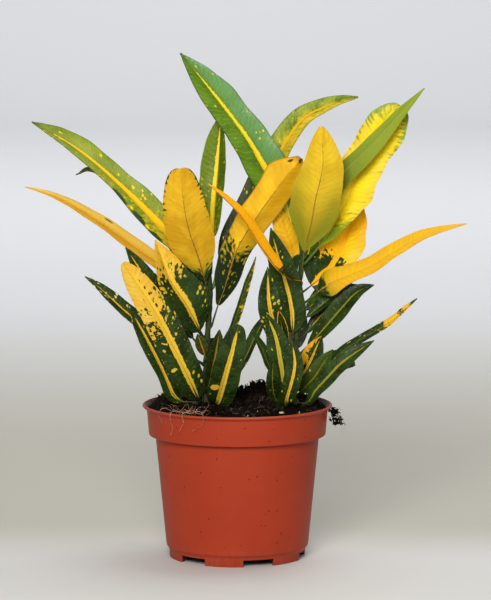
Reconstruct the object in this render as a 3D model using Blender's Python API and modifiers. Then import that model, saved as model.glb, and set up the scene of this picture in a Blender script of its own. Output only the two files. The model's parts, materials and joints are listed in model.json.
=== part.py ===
"""Potted croton: two young variegated crotons in one plastic nursery pot.

The tables are in millimetres and degrees, and the objects are built in metres, +Z up.
The pot stands on z = 0.  x runs to the right, y to the back.
"""
import math

import bmesh
import bpy
from mathutils import Matrix, Vector, noise

MM = 0.001
GAP = 0.3                       # clearance between pieces that touch
CUTTER_OVERRUN = 1.0            # how far a cutter stands out of what it cuts
EDGE = 0.6                      # the moulded pot's edge rounding

# Pot: a 12 cm thin-walled nursery pot with a banded rim and six feet.
LIP_RADIUS = 60.0
LIP_TOP = 97.2
LIP_BOTTOM = 95.4
BAND_TOP_RADIUS = 57.2
BAND_BOTTOM_RADIUS = 55.9
BAND_BOTTOM = 78.0
SHOULDER = 2.4                  # how far the band's lower edge slopes in to the body
BODY_TOP_RADIUS = 51.2
BODY_BOTTOM_RADIUS = 44.8
BODY_BOTTOM = 8.0
BASE_EDGE_RADIUS = 43.0
BASE_UNDERSIDE = 5.0
WALL = 1.4
POT_STEPS = 40

FOOT_COUNT = 6
FOOT_RING_WIDTH = 3.0
FOOT_GAP_WIDTH = 20.0
FOOT_GAP_HEIGHT = 4.5
FOOT_GAP_DEPTH = 12.0
FIRST_FOOT_ANGLE = -101.5
CENTRE_HOLE_RADIUS = 5.0
DRAIN_HOLE_RADIUS = 4.0
DRAIN_RING_RADIUS = 26.0

# Soil: peat that fills the pot, with a mound behind and between the plants.
SOIL_LEVEL = 95.3
SOIL_SIDE = (                   # radius and height, from the floor up to below the top's edge
    (38.0, 8.0),
    (43.0, 12.0),
    (49.1, 77.2),
    (53.2, 80.6),
)
SOIL_EDGE_RADIUS = 55.0
SOIL_EDGE_DROP = 0.8
SOIL_STEPS = 36
SOIL_RINGS = (8.0, 16.0, 24.0, 32.0, 40.0, 46.0, 50.0)
SOIL_BUMPS = (                  # centre x and y, height, spread
    (7.0, 20.0, 9.4, 7.5),
    (19.0, 20.0, 9.4, 7.5),
    (-44.0, 12.0, 8.5, 6.5),
    (43.0, 22.0, 6.0, 7.0),
    (-6.0, 36.0, 5.0, 9.0),
)
SOIL_ROUGHNESS = 0.8
SOIL_GRAIN = 0.11

# Stems: route and radius at the foot and at the growing tip.
STEMS = {
    "left": ((-21, 0, 62), (-20, 0, 100), (-19, 0, 138), (-17, 0, 164), (-18, 0, 182)),
    "right": ((33, -2, 62), (34, -2, 100), (37, -2, 135), (38, -1, 165), (41, -1, 192)),
}
STEM_FOOT_RADIUS = 2.6
STEM_TIP_RADIUS = 1.5
STEM_RINGS = 8
STEM_SIDES = 10

# Leaves: one thin solid each, the stalk and the blade grown as one piece.
LEAF_THICKNESS = 0.8
STALK_HALF_WIDTH = 1.0
STALK_THICKNESS = 1.7
TIP_HALF_WIDTH = 0.35
BLADE_STATIONS = (0.0, 0.10, 0.22, 0.35, 0.48, 0.61, 0.73, 0.84, 0.92, 0.975, 1.0)
POINTED = 1.0
BLUNT = 0.5
ROUND = 0.36
TAPERED = 0.6
STRAP = 0.4


def leaf(stem, height, route, width, turn, fold, tip=POINTED, base=TAPERED, stalk=0.12, widest=0.5,
         left=None, right=None):
    """A leaf's design.

    height is where it leaves the stem and route its midrib from there to the tip.
    turn swings the margin on the right back from the front view, at the blade's
    base and at its tip.  fold lifts both halves towards the front, or to the back
    where it is below 0.  stalk is the stalk's share of the length, and widest is
    where the blade is widest.  tip and base say how full its ends are.  left and
    right are an uneven margin's shares of the blade and factors of its width.
    """
    return dict(stem=stem, height=height, route=route, width=width, turn=turn, fold=fold, tip=tip,
                base=base, stalk=stalk, widest=widest, left=left, right=right)


LEAVES = {
    # Left plant, from the top down.
    "left_leaf_01": leaf("left", 176, ((-36, 5, 196), (-60, 8, 221), (-84, 10, 244), (-106, 12, 261),
                                       (-130, 12, 275)),
                         23, (20, 50), 26,
                         left=((0, 1.2), (0.24, 1.45), (0.35, 1.0), (0.46, 0.55), (0.64, 0.6), (0.8, 1), (1, 1))),
    "left_leaf_02": leaf("left", 167, ((-23.5, -14, 189), (-30, -26, 210), (-33, -34, 227), (-35, -39, 250)),
                         29, (0, 4), -10, tip=ROUND, base=0.55, widest=0.4, stalk=0.11),
    "left_leaf_03": leaf("left", 147, ((-13, -5, 158), (-7.5, -9, 173), (1.5, -13, 200), (26, -18, 237),
                                       (40, -18, 255)),
                         23, (10, 8), -18, tip=0.6, base=0.8, widest=0.6),
    "left_leaf_04": leaf("left", 171, ((-8, 6, 199), (6, 12, 219), (16, 15, 235), (39, 19, 273),
                                       (59, 20, 285), (77, 20, 290)),
                         17, (-30, -38), 28, tip=0.8, right=((0, 1.2), (0.45, 1.5), (0.7, 1.3), (1, 1))),
    "left_leaf_05": leaf("left", 180, ((-15, 5, 218), (-12, 9, 250), (-10, 10, 281)),
                         22, (-30, -44), 26, stalk=0.22),
    "left_leaf_06": leaf("left", 173, ((-40, 16, 194), (-74, 24, 230), (-91, 27, 243), (-103, 26, 240)),
                         11, (40, 50), 20),
    "left_leaf_07": leaf("left", 166, ((-52, -1, 188), (-86, 1, 212), (-111, 2, 227), (-134, 1, 235)),
                         17, (60, 72), 8, widest=0.28),
    "left_leaf_08": leaf("left", 138, ((-24, -9, 146), (-32, -17, 163), (-41, -22, 177), (-47, -24, 192),
                                       (-51, -25, 204)),
                         24, (25, 38), 22),
    "left_leaf_09": leaf("left", 98, ((-24.5, -8, 101.5), (-31, -17, 117), (-41, -24, 139), (-52, -30, 161),
                                      (-71, -35, 191)),
                         22, (8, 14), 15, tip=BLUNT, base=STRAP, widest=0.42, stalk=0.06,
                         left=((0, 1.5), (0.2, 1.15), (0.35, 1), (1, 1))),
    "left_leaf_10": leaf("left", 132, ((-39, -6, 153), (-57, -10, 177), (-70, -11, 198)),
                         15, (28, 28), 22),
    "left_leaf_11": leaf("left", 123, ((-45, -2, 137), (-68, -4, 154), (-85, -5, 170), (-96, -5, 179)),
                         12, (42, 42), 24),
    "left_leaf_12": leaf("left", 98, ((-33, -5, 98.6), (-40, -8, 103.5), (-46, -12, 118), (-56, -17, 139),
                                      (-67, -20, 160)),
                         13, (24, 24), 20, widest=0.6, stalk=0.16),
    "left_leaf_13": leaf("left", 98, ((-13, -13, 99), (-10.5, -20, 106.5), (-7.4, -28, 118.7), (-3.4, -35, 134),
                                      (1, -41, 153)),
                         19, (0, 0), 14, tip=ROUND, base=STRAP, widest=0.35, stalk=0.1),
    "left_leaf_14": leaf("left", 106, ((-17, -10, 114), (-14, -17, 130), (-11, -20, 147)),
                         12, (18, 18), 18),
    "left_leaf_15": leaf("left", 117, ((-12, -5, 130), (-4, -6, 146), (0, -8, 157), (4.9, -10, 173),
                                       (12, -11, 192)),
                         7.5, (46, 48), 22),
    "left_leaf_16": leaf("left", 100, ((-8, 4, 107), (4, 6, 123), (12, 7, 140), (22, 6, 158)),
                         10, (-48, -48), 22),
    "left_leaf_17": leaf("left", 124, ((-21, -8, 131), (-25, -12, 143)), 8, (10, 10), 14, stalk=0.3),
    "left_leaf_18": leaf("left", 151, ((-26, -3, 166), (-33, -4, 186), (-37, -4, 202)), 12, (34, 34), 18),
    "left_leaf_19": leaf("left", 176, ((-25, 20, 200), (-31, 34, 222), (-34, 40, 232)), 20, (0, 0), 16),
    "left_leaf_20": leaf("left", 157, ((-29, 26, 178), (-36, 48, 198), (-40, 60, 205)), 21, (0, 0), 16),
    "left_leaf_21": leaf("left", 139, ((-36, 24, 150), (-50, 42, 162), (-58, 56, 164)), 20, (10, 10), 16),
    "left_leaf_22": leaf("left", 122, ((-16, 24, 123), (-15, 46, 126), (-14, 61, 121)), 18, (0, 0), 16),
    "left_leaf_23": leaf("left", 111, ((-36, 20, 117), (-50, 38, 127), (-58, 50, 130)), 17, (8, 8), 18),
    # Right plant, from the top down.
    "right_leaf_01": leaf("right", 189, ((30, 1, 223), (18, 2, 245), (5, 3, 267), (-18, 3, 297), (-36, 2, 319)),
                          32, (14, 20), 24, widest=0.36,
                          left=((0, 1), (0.36, 0.85), (0.47, 0.66), (0.55, 0.58), (0.64, 0.8), (0.76, 1.05), (0.9, 1.3), (1, 1))),
    "right_leaf_02": leaf("right", 170, ((41, -13, 176), (30, -24, 181), (17, -28, 196), (2, -32, 220),
                                         (-18, -33, 240)),
                          13, (66, 70), 34, widest=0.4),
    "right_leaf_03": leaf("right", 178, ((42, -10, 195), (46, -22, 213), (49, -31, 232), (53, -36, 251),
                                         (52, -38, 276)),
                          32, (0, 0), -11, tip=0.75, widest=0.36, stalk=0.17),
    "right_leaf_04": leaf("right", 187, ((58, -7, 207), (69, -6, 229), (78, -5, 247), (94, -3, 273),
                                        (104, -2, 285)),
                          29, (-8, -14), 10, tip=ROUND, widest=0.55,
                          right=((0, 1), (0.14, 1.1), (0.28, 0.72), (0.5, 0.66), (0.64, 0.7), (0.8, 0.95), (1, 1))),
    "right_leaf_05": leaf("right", 191, ((52, -10, 222), (66, -15, 245), (80, -16, 258), (102, -16, 283),
                                        (117, -15, 298)),
                          15, (-34, -38), -10, widest=0.32),
    "right_leaf_06": leaf("right", 168, ((55, 4, 179), (63, 7, 190), (69, 10, 203), (78, 13, 226)),
                          28, (-6, -6), 16, base=0.85, stalk=0.1),
    "right_leaf_07": leaf("right", 172, ((33, -5, 197), (28, -5, 212), (24, -5, 225)), 14, (14, 14), -14),
    "right_leaf_08": leaf("right", 134, ((34, -7, 158), (31, -8, 172), (27, -9, 186), (21, -10, 210)),
                          15, (14, 14), 20),
    "right_leaf_09": leaf("right", 122, ((25, -10, 142), (20, -15, 163), (19, -16, 186)), 13, (4, 4), 14),
    "right_leaf_10": leaf("right", 104, ((30.5, -11, 106), (29, -17, 114), (26.9, -21, 128), (24, -24, 143),
                                       (18, -26, 158)),
                          15, (4, 4), 15, base=STRAP),
    "right_leaf_11": leaf("right", 126, ((31, -13, 137), (28, -18, 148), (26, -21, 159)), 8, (10, 10), 40, stalk=0.4),
    "right_leaf_12": leaf("right", 98, ((31, -19, 100), (31.6, -25, 106), (34, -29, 115), (36, -31, 127),
                                       (34, -32, 142)),
                          18, (-4, -4), 15, base=STRAP, stalk=0.1),
    "right_leaf_13": leaf("right", 100, ((20, -13, 123), (15, -16, 135), (9, -18, 147)), 9, (54, 54), 18),
    "right_leaf_14": leaf("right", 98, ((25, -8, 100.5), (22.5, -16, 108), (22, -24, 118), (22.5, -29, 130)), 9, (8, 8), 18),
    "right_leaf_15": leaf("right", 160, ((58, -5, 174), (84, -9, 186), (106, -11, 200), (121, -12, 207),
                                        (144, -12, 213)),
                          15, (-48, -60), 8, widest=0.24, base=0.5),
    "right_leaf_16": leaf("right", 138, ((48, 4, 147), (58, 7, 158), (68, 9, 168), (76, 10, 172)),
                          12, (-34, -34), 22),
    "right_leaf_17": leaf("right", 129, ((54, -6, 145), (64, -8, 157), (75, -9, 169), (86, -9, 174)),
                          14, (-28, -28), 22),
    "right_leaf_18": leaf("right", 150, ((58, -1, 164), (66, -1, 171), (72, -1, 175)), 11, (-46, -46), 18),
    "right_leaf_19": leaf("right", 110, ((45, -10, 123.6), (49, -13, 133.3), (53, -14, 142.2)), 14, (-8, -8), 18),
    "right_leaf_20": leaf("right", 102, ((48, -15.5, 115.8), (54, -18.5, 125.5), (60, -19.5, 134.4)), 12, (-18, -18), 20),
    "right_leaf_21": leaf("right", 106, ((62.5, -8, 128.5), (74.5, -10, 137.3), (85, -11, 143.7), (95, -12, 150),
                                        (113, -12, 166)),
                          12, (-56, -58), 12, widest=0.4),
    "right_leaf_22": leaf("right", 98, ((44, -15, 100), (49.5, -22, 109), (57.5, -26.5, 118.5), (66.5, -29, 128),
                                       (85.4, -30, 141.6)),
                          12, (-30, -36), 14, stalk=0.14),
    "right_leaf_23": leaf("right", 174, ((46, 22, 198), (51, 42, 222), (54, 52, 234)), 21, (0, 0), 16),
    "right_leaf_24": leaf("right", 154, ((56, 22, 163), (68, 40, 170), (74, 54, 168)), 19, (-10, -10), 16),
    "right_leaf_25": leaf("right", 128, ((37, 26, 139), (34, 46, 150), (32, 62, 153)), 19, (0, 0), 16),
    "right_leaf_26": leaf("right", 114, ((54, 20, 117), (66, 36, 120), (76, 48, 115)), 16, (-10, -10), 18),
    "right_leaf_27": leaf("right", 160, ((30, 20, 176), (25, 38, 188), (23, 50, 194)), 15, (6, 6), 18),
}

# Fine roots that lie over the rim, with the radius of the strand.
ROOT_RADIUS = 0.4
ROOTS = {
    "root_01": ((-30, -38, 97.0), (-36, -41.5, 97.8), (-39.5, -43.8, 98.6), (-41.5, -45.5, 97.2),
                (-41, -45.2, 92), (-40, -43.8, 87), (-41.5, -42, 84)),
    "root_02": ((-26, -44, 97.0), (-30, -48.5, 98.2), (-32, -50.6, 99.2), (-34, -52.8, 97.8),
                (-33.5, -50.8, 92), (-36, -47, 87)),
    "root_03": ((-22, -46, 97.0), (-26.5, -50, 99), (-22.5, -55, 100), (-21, -58, 97.5),
                (-21, -57.6, 94), (-23, -55.8, 91), (-28, -52.5, 88)),
    "root_04": ((-38, -30, 97.0), (-42, -36, 98.4), (-45, -38.5, 100), (-48, -38.5, 98.8),
                (-49, -36.8, 95), (-46.5, -39.4, 91)),
}

# Loose bits: centre and half sizes.
PERLITE = {
    "perlite": ((27.5, -43, 97.8), (1.6, 1.3, 1.1)),
}
PEAT_CRUMBS = {
    "peat_crumb": ((60.7, -4, 90.4), (2.6, 3.4, 3.8)),
}

# The pot's axis stands a little left of the origin, so that the whole plant is centred on it.
POT_AXIS = (-4.8, 0.0)

POT_COLOUR = (0.402, 0.048, 0.021)
SOIL_COLOUR = (0.020, 0.012, 0.008)
STEM_COLOUR = (0.085, 0.080, 0.035)
GREEN_LEAF_COLOUR = (0.040, 0.120, 0.018)
GOLD_LEAF_COLOUR = (0.760, 0.430, 0.020)
ROOT_COLOUR = (0.620, 0.470, 0.300)
PERLITE_COLOUR = (0.780, 0.740, 0.640)
GOLD_LEAVES = ("left_leaf_02", "left_leaf_03", "left_leaf_07", "right_leaf_02", "right_leaf_03",
               "right_leaf_04", "right_leaf_06", "right_leaf_07", "right_leaf_15")


def clear_scene():
    for item in list(bpy.data.objects):
        bpy.data.objects.remove(item, do_unlink=True)


def new_collection(name):
    collection = bpy.data.collections.new(name)
    bpy.context.scene.collection.children.link(collection)
    return collection


def new_material(name, colour, roughness):
    material = bpy.data.materials.new(name)
    material.use_nodes = True
    shader = material.node_tree.nodes["Principled BSDF"]
    shader.inputs["Base Color"].default_value = (*colour, 1.0)
    shader.inputs["Roughness"].default_value = roughness
    shader.inputs["Metallic"].default_value = 0.0
    return material


def new_object(name, mesh, collection, material=None):
    item = bpy.data.objects.new(name, mesh)
    collection.objects.link(item)
    if material is not None:
        mesh.materials.append(material)
    return item


def smooth(mesh, angle=40.0):
    mesh.shade_smooth()
    mesh.set_sharp_from_angle(angle=math.radians(angle))


def smooth_route(points, count):
    """The points of a smooth curve through the given ones, count to a span."""
    ends = [points[0] * 2 - points[1], *points, points[-1] * 2 - points[-2]]
    route = []
    for before, start, end, after in zip(ends, ends[1:], ends[2:], ends[3:]):
        for step in range(count):
            t = step / count
            route.append(0.5 * (2 * start + (end - before) * t
                                + (2 * before - 5 * start + 4 * end - after) * t ** 2
                                + (3 * start - before - 3 * end + after) * t ** 3))
    route.append(points[-1].copy())
    return route


def place_along(route, share):
    """The point and direction at a share of the route's length."""
    lengths = [(b - a).length for a, b in zip(route, route[1:])]
    wanted = share * sum(lengths)
    for index, length in enumerate(lengths):
        if wanted <= length or index == len(lengths) - 1:
            step = route[index + 1] - route[index]
            return route[index] + step * min(1.0, wanted / length), step.normalized()
        wanted -= length


def stem_at(stem, height):
    """A stem's centre and radius at a height."""
    points = [Vector(point) for point in STEMS[stem]]
    bottom, top = points[0].z, points[-1].z
    share = min(max((height - bottom) / (top - bottom), 0.0), 1.0)
    radius = STEM_FOOT_RADIUS + (STEM_TIP_RADIUS - STEM_FOOT_RADIUS) * share
    for low, high in zip(points, points[1:]):
        if height <= high.z:
            return low.lerp(high, (height - low.z) / (high.z - low.z)), radius
    return points[-1], radius


def blade_half_width(design, share):
    """Half the blade's width at a share of its length, from its base to its tip."""
    widest = design["widest"]
    if share < widest:
        swell = math.sin(share / widest * math.pi / 2) ** design["base"]
    else:
        swell = max(0.0, 1 - ((share - widest) / (1 - widest)) ** 2.3) ** design["tip"]
    return design["width"] / 2 * swell


def margin_factor(margin, share):
    """How much an uneven margin widens or narrows its half of the blade."""
    for (low, start), (high, end) in zip(margin, margin[1:]):
        if share <= high:
            return start + (end - start) * (share - low) / (high - low)
    return margin[-1][1]


def half_widths(design, share):
    """The left and right half widths."""
    floor = STALK_HALF_WIDTH if share < design["widest"] else TIP_HALF_WIDTH
    half = blade_half_width(design, share)
    margins = (design[side] or ((0, 1), (1, 1)) for side in ("left", "right"))
    return [max(floor, half * margin_factor(margin, share)) for margin in margins]


def leaf_section(centre, along, halves, thickness, turn, fold):
    """Six corners of a folded blade's cross-section: the front side, then the back side."""
    aside = Vector((0, 1, 0)).cross(along).normalized()
    behind = along.cross(aside)
    across = aside * math.cos(turn) + behind * math.sin(turn)
    facing = across.cross(along)
    middle = facing * thickness / 2
    margin = middle * 0.6
    rise = facing * math.sin(fold)
    reach = across * math.cos(fold)
    left = centre + (rise - reach) * halves[0]
    right = centre + (rise + reach) * halves[1]
    return [left + margin, centre + middle, right + margin, right - margin, centre - middle, left - margin]


def loft(sections):
    """A closed mesh through cross-sections that have the same number of corners."""
    shape = bmesh.new()
    rings = [[shape.verts.new(corner * MM) for corner in section] for section in sections]
    for lower, upper in zip(rings, rings[1:]):
        for index, corner in enumerate(lower):
            after = (index + 1) % len(lower)
            shape.faces.new((corner, lower[after], upper[after], upper[index]))
    bottom = shape.faces.new(rings[0][::-1])
    top = shape.faces.new(rings[-1])
    bmesh.ops.triangulate(shape, faces=[bottom, top])
    bmesh.ops.recalc_face_normals(shape, faces=shape.faces)
    mesh = bpy.data.meshes.new("loft")
    shape.to_mesh(mesh)
    shape.free()
    return mesh


def leaf_mesh(design):
    stem, stem_radius = stem_at(design["stem"], design["height"])
    outward = Vector(design["route"][0]) - stem
    outward.z = 0
    start = stem + outward.normalized() * (stem_radius + GAP + STALK_THICKNESS / 2)
    start.z = design["height"]
    route = smooth_route([start] + [Vector(point) for point in design["route"]], 12)
    stalk = design["stalk"]
    first_turn, last_turn = (math.radians(angle) for angle in design["turn"])
    fold = math.radians(design["fold"])
    centre, along = place_along(route, 0.0)
    stalk_halves = (STALK_HALF_WIDTH, STALK_HALF_WIDTH)
    sections = [leaf_section(centre, along, stalk_halves, STALK_THICKNESS, first_turn, 0.0)]
    for share in BLADE_STATIONS:
        centre, along = place_along(route, stalk + (1 - stalk) * share)
        opening = min(1.0, share * 4)
        thickness = STALK_THICKNESS + (LEAF_THICKNESS - STALK_THICKNESS) * opening
        turn = first_turn + (last_turn - first_turn) * share
        sections.append(leaf_section(centre, along, half_widths(design, share), thickness, turn,
                                     fold * opening))
    return loft(sections)


def add_leaves(collection):
    green = new_material("leaf_green", GREEN_LEAF_COLOUR, 0.35)
    gold = new_material("leaf_gold", GOLD_LEAF_COLOUR, 0.42)
    for name, design in LEAVES.items():
        mesh = leaf_mesh(design)
        smooth(mesh)
        new_object(name, mesh, collection, gold if name in GOLD_LEAVES else green)


def stem_mesh(stem, clearance=0.0):
    route = smooth_route([Vector(point) for point in STEMS[stem]], 6)
    sections = []
    for ring in range(STEM_RINGS + 1):
        share = ring / STEM_RINGS
        centre, along = place_along(route, share)
        radius = STEM_FOOT_RADIUS + (STEM_TIP_RADIUS - STEM_FOOT_RADIUS) * share + clearance
        across = Vector((0, 1, 0)).cross(along).normalized()
        turns = (Matrix.Rotation(math.tau * side / STEM_SIDES, 3, along) for side in range(STEM_SIDES))
        sections.append([centre + turn @ across * radius for turn in turns])
    if clearance:
        first = sections[0]
        sections[0] = [corner - Vector((0, 0, clearance)) for corner in first]
    return loft(sections)


def add_stems(collection):
    bark = new_material("stem_bark", STEM_COLOUR, 0.6)
    for stem in STEMS:
        mesh = stem_mesh(stem)
        smooth(mesh)
        new_object(f"{stem}_stem", mesh, collection, bark)


def turned_mesh(name, profile):
    """A closed profile in x and z, turned round the z axis."""
    mesh = bpy.data.meshes.new(name)
    corners = [(x * MM, 0, z * MM) for x, z in profile]
    edges = [(index, (index + 1) % len(profile)) for index in range(len(profile))]
    mesh.from_pydata(corners, edges, [])
    return mesh


def add_screw(item, steps):
    screw = item.modifiers.new("turn", "SCREW")
    screw.axis = "Z"
    screw.steps = steps
    screw.render_steps = steps
    screw.use_merge_vertices = True
    screw.merge_threshold = 0.00001


def pot_profile():
    """The pot's wall, down its outer side, under the base and back up inside."""
    foot_inner = BASE_EDGE_RADIUS - FOOT_RING_WIDTH
    floor = BASE_UNDERSIDE + WALL
    return (
        (LIP_RADIUS - EDGE, LIP_TOP),
        (LIP_RADIUS, LIP_TOP - EDGE),
        (LIP_RADIUS - EDGE / 2, LIP_BOTTOM),
        (BAND_TOP_RADIUS + EDGE, LIP_BOTTOM - EDGE),
        (BAND_TOP_RADIUS, LIP_BOTTOM - 3 * EDGE),
        (BAND_BOTTOM_RADIUS, BAND_BOTTOM + EDGE),
        (BAND_BOTTOM_RADIUS - EDGE, BAND_BOTTOM),
        (BODY_TOP_RADIUS + EDGE, BAND_BOTTOM - SHOULDER),
        (BODY_TOP_RADIUS, BAND_BOTTOM - SHOULDER - 2 * EDGE),
        (BODY_BOTTOM_RADIUS, BODY_BOTTOM),
        (BASE_EDGE_RADIUS + EDGE, BODY_BOTTOM - 4 * EDGE),
        (BASE_EDGE_RADIUS, BASE_UNDERSIDE),
        (BASE_EDGE_RADIUS - EDGE / 2, 0.0),
        (foot_inner, 0.0),
        (foot_inner, BASE_UNDERSIDE),
        (CENTRE_HOLE_RADIUS, BASE_UNDERSIDE),
        (CENTRE_HOLE_RADIUS, floor),
        (BODY_BOTTOM_RADIUS - 2 * WALL, floor),
        (BODY_BOTTOM_RADIUS - WALL, BODY_BOTTOM + EDGE),
        (BODY_TOP_RADIUS - WALL, BAND_BOTTOM - EDGE),
        (BAND_BOTTOM_RADIUS - WALL, BAND_BOTTOM + WALL),
        (BAND_TOP_RADIUS - WALL, LIP_BOTTOM - EDGE),
        (LIP_RADIUS - EDGE - WALL, LIP_TOP),
    )


def cutter_box(name, size, place, angle, cutters):
    shape = bmesh.new()
    bmesh.ops.create_cube(shape, size=1.0)
    bmesh.ops.scale(shape, vec=Vector(size) * MM, verts=shape.verts)
    bmesh.ops.translate(shape, vec=Vector(place) * MM, verts=shape.verts)
    bmesh.ops.rotate(shape, cent=(0, 0, 0), matrix=Matrix.Rotation(angle, 3, "Z"), verts=shape.verts)
    return cutter(name, shape, cutters)


def cutter_cylinder(name, radius, height, place, cutters):
    shape = bmesh.new()
    bmesh.ops.create_cone(shape, cap_ends=True, segments=16, radius1=radius * MM, radius2=radius * MM,
                          depth=height * MM)
    bmesh.ops.translate(shape, vec=Vector(place) * MM, verts=shape.verts)
    return cutter(name, shape, cutters)


def cutter(name, shape, cutters):
    mesh = bpy.data.meshes.new(name)
    shape.to_mesh(mesh)
    shape.free()
    item = new_object(name, mesh, cutters)
    item.hide_render = True
    item.display_type = "WIRE"
    return item


def cut(item, tool):
    boolean = item.modifiers.new(f"cut_{tool.name}", "BOOLEAN")
    boolean.operation = "DIFFERENCE"
    boolean.solver = "EXACT"
    boolean.object = tool


def add_pot(collection, cutters):
    """The pot, with gaps between its feet and round holes in its base."""
    mesh = turned_mesh("pot", pot_profile())
    pot = new_object("pot", mesh, collection, new_material("pot_plastic", POT_COLOUR, 0.38))
    add_screw(pot, POT_STEPS)
    for index in range(FOOT_COUNT):
        angle = math.radians(FIRST_FOOT_ANGLE + (index + 0.5) * 360 / FOOT_COUNT)
        size = (FOOT_GAP_DEPTH, FOOT_GAP_WIDTH, FOOT_GAP_HEIGHT + 2 * CUTTER_OVERRUN)
        place = (BASE_EDGE_RADIUS - FOOT_RING_WIDTH / 2, 0, FOOT_GAP_HEIGHT / 2 - CUTTER_OVERRUN)
        cut(pot, cutter_box(f"foot_gap_{index + 1}", size, place, angle, cutters))
        hole = (DRAIN_RING_RADIUS * math.cos(angle), DRAIN_RING_RADIUS * math.sin(angle), BASE_UNDERSIDE)
        cut(pot, cutter_cylinder(f"drain_hole_{index + 1}", DRAIN_HOLE_RADIUS, 4 * WALL, hole, cutters))
    return pot


def soil_height(x, y):
    height = SOIL_LEVEL
    for centre_x, centre_y, rise, spread in SOIL_BUMPS:
        distance = (x - centre_x) ** 2 + (y - centre_y) ** 2
        height += rise * math.exp(-distance / (2 * spread ** 2))
    return height + SOIL_ROUGHNESS * noise.noise(Vector((x, y, 3.0)) * SOIL_GRAIN)


def soil_rings():
    """Rings of points up the peat's side and inward over its rough, mounded top."""
    rings = [[polar(radius, side, level) for side in range(SOIL_STEPS)] for radius, level in SOIL_SIDE]
    for radius in (SOIL_EDGE_RADIUS, *reversed(SOIL_RINGS)):
        drop = SOIL_EDGE_DROP if radius == SOIL_EDGE_RADIUS else 0.0
        flat = [polar(radius, side, 0.0) for side in range(SOIL_STEPS)]
        rings.append([Vector((point.x, point.y, soil_height(point.x, point.y) - drop)) for point in flat])
    return rings


def soil_mesh():
    """Peat from the pot's floor up to its rough top."""
    shape = bmesh.new()
    rows = [[shape.verts.new(point * MM) for point in ring] for ring in soil_rings()]
    for lower, upper in zip(rows, rows[1:]):
        for index, corner in enumerate(lower):
            after = (index + 1) % SOIL_STEPS
            shape.faces.new((corner, lower[after], upper[after], upper[index]))
    for row, level in ((rows[0][::-1], SOIL_SIDE[0][1]), (rows[-1], soil_height(0.0, 0.0))):
        middle = shape.verts.new(Vector((0, 0, level)) * MM)
        for index, corner in enumerate(row):
            shape.faces.new((corner, row[(index + 1) % SOIL_STEPS], middle))
    mesh = bpy.data.meshes.new("soil")
    shape.to_mesh(mesh)
    shape.free()
    return mesh


def polar(radius, side, level):
    angle = math.tau * side / SOIL_STEPS
    return Vector((radius * math.cos(angle), radius * math.sin(angle), level))


def add_soil(collection, cutters):
    """The peat, with a pocket for each stem's buried foot."""
    soil = new_object("soil", soil_mesh(), collection, new_material("peat", SOIL_COLOUR, 0.95))
    for stem in STEMS:
        pocket = bmesh.new()
        pocket.from_mesh(stem_mesh(stem, clearance=GAP))
        cut(soil, cutter(f"{stem}_pocket", pocket, cutters))


def add_roots(collection):
    material = new_material("root", ROOT_COLOUR, 0.6)
    for name, points in ROOTS.items():
        curve = bpy.data.curves.new(name, "CURVE")
        curve.dimensions = "3D"
        curve.bevel_depth = ROOT_RADIUS * MM
        curve.bevel_resolution = 1
        curve.use_fill_caps = True
        spline = curve.splines.new("POLY")
        route = smooth_route([Vector(point) for point in points], 4)
        spline.points.add(len(route) - 1)
        for point, place in zip(spline.points, route):
            point.co = (*(place * MM), 1.0)
        curve.materials.append(material)
        collection.objects.link(bpy.data.objects.new(name, curve))


def add_bits(collection, bits, material, roughness, seed):
    """Small irregular lumps."""
    for number, (name, (centre, half_sizes)) in enumerate(bits.items()):
        shape = bmesh.new()
        bmesh.ops.create_icosphere(shape, subdivisions=2, radius=1.0)
        for corner in shape.verts:
            swell = 1 + roughness * noise.noise(corner.co * 1.7 + Vector((seed, number, 0)))
            corner.co = Vector(a * b * swell * MM for a, b in zip(corner.co, half_sizes))
            corner.co += Vector(centre) * MM
        mesh = bpy.data.meshes.new(name)
        shape.to_mesh(mesh)
        shape.free()
        smooth(mesh, 60.0)
        new_object(name, mesh, collection, material)


def stand_on_axis(*collections):
    """Everything hangs from an empty on the pot's axis."""
    axis = bpy.data.objects.new("pot_axis", None)
    bpy.context.scene.collection.objects.link(axis)
    axis.location = (POT_AXIS[0] * MM, POT_AXIS[1] * MM, 0)
    for collection in collections:
        for item in collection.objects:
            item.parent = axis


def build():
    clear_scene()
    plant = new_collection("potted_croton")
    cutters = new_collection("cutters")
    add_pot(plant, cutters)
    add_soil(plant, cutters)
    add_stems(plant)
    add_leaves(plant)
    add_roots(plant)
    add_bits(plant, PERLITE, new_material("perlite", PERLITE_COLOUR, 0.9), 0.25, 2.0)
    add_bits(plant, PEAT_CRUMBS, new_material("peat_crumb", SOIL_COLOUR, 0.95), 0.3, 5.0)
    stand_on_axis(plant, cutters)


build()
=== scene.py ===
import json
import math
import random

import bmesh
import bpy
from mathutils import Euler, Matrix, Vector, noise
from mathutils.bvhtree import BVHTree


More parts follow.
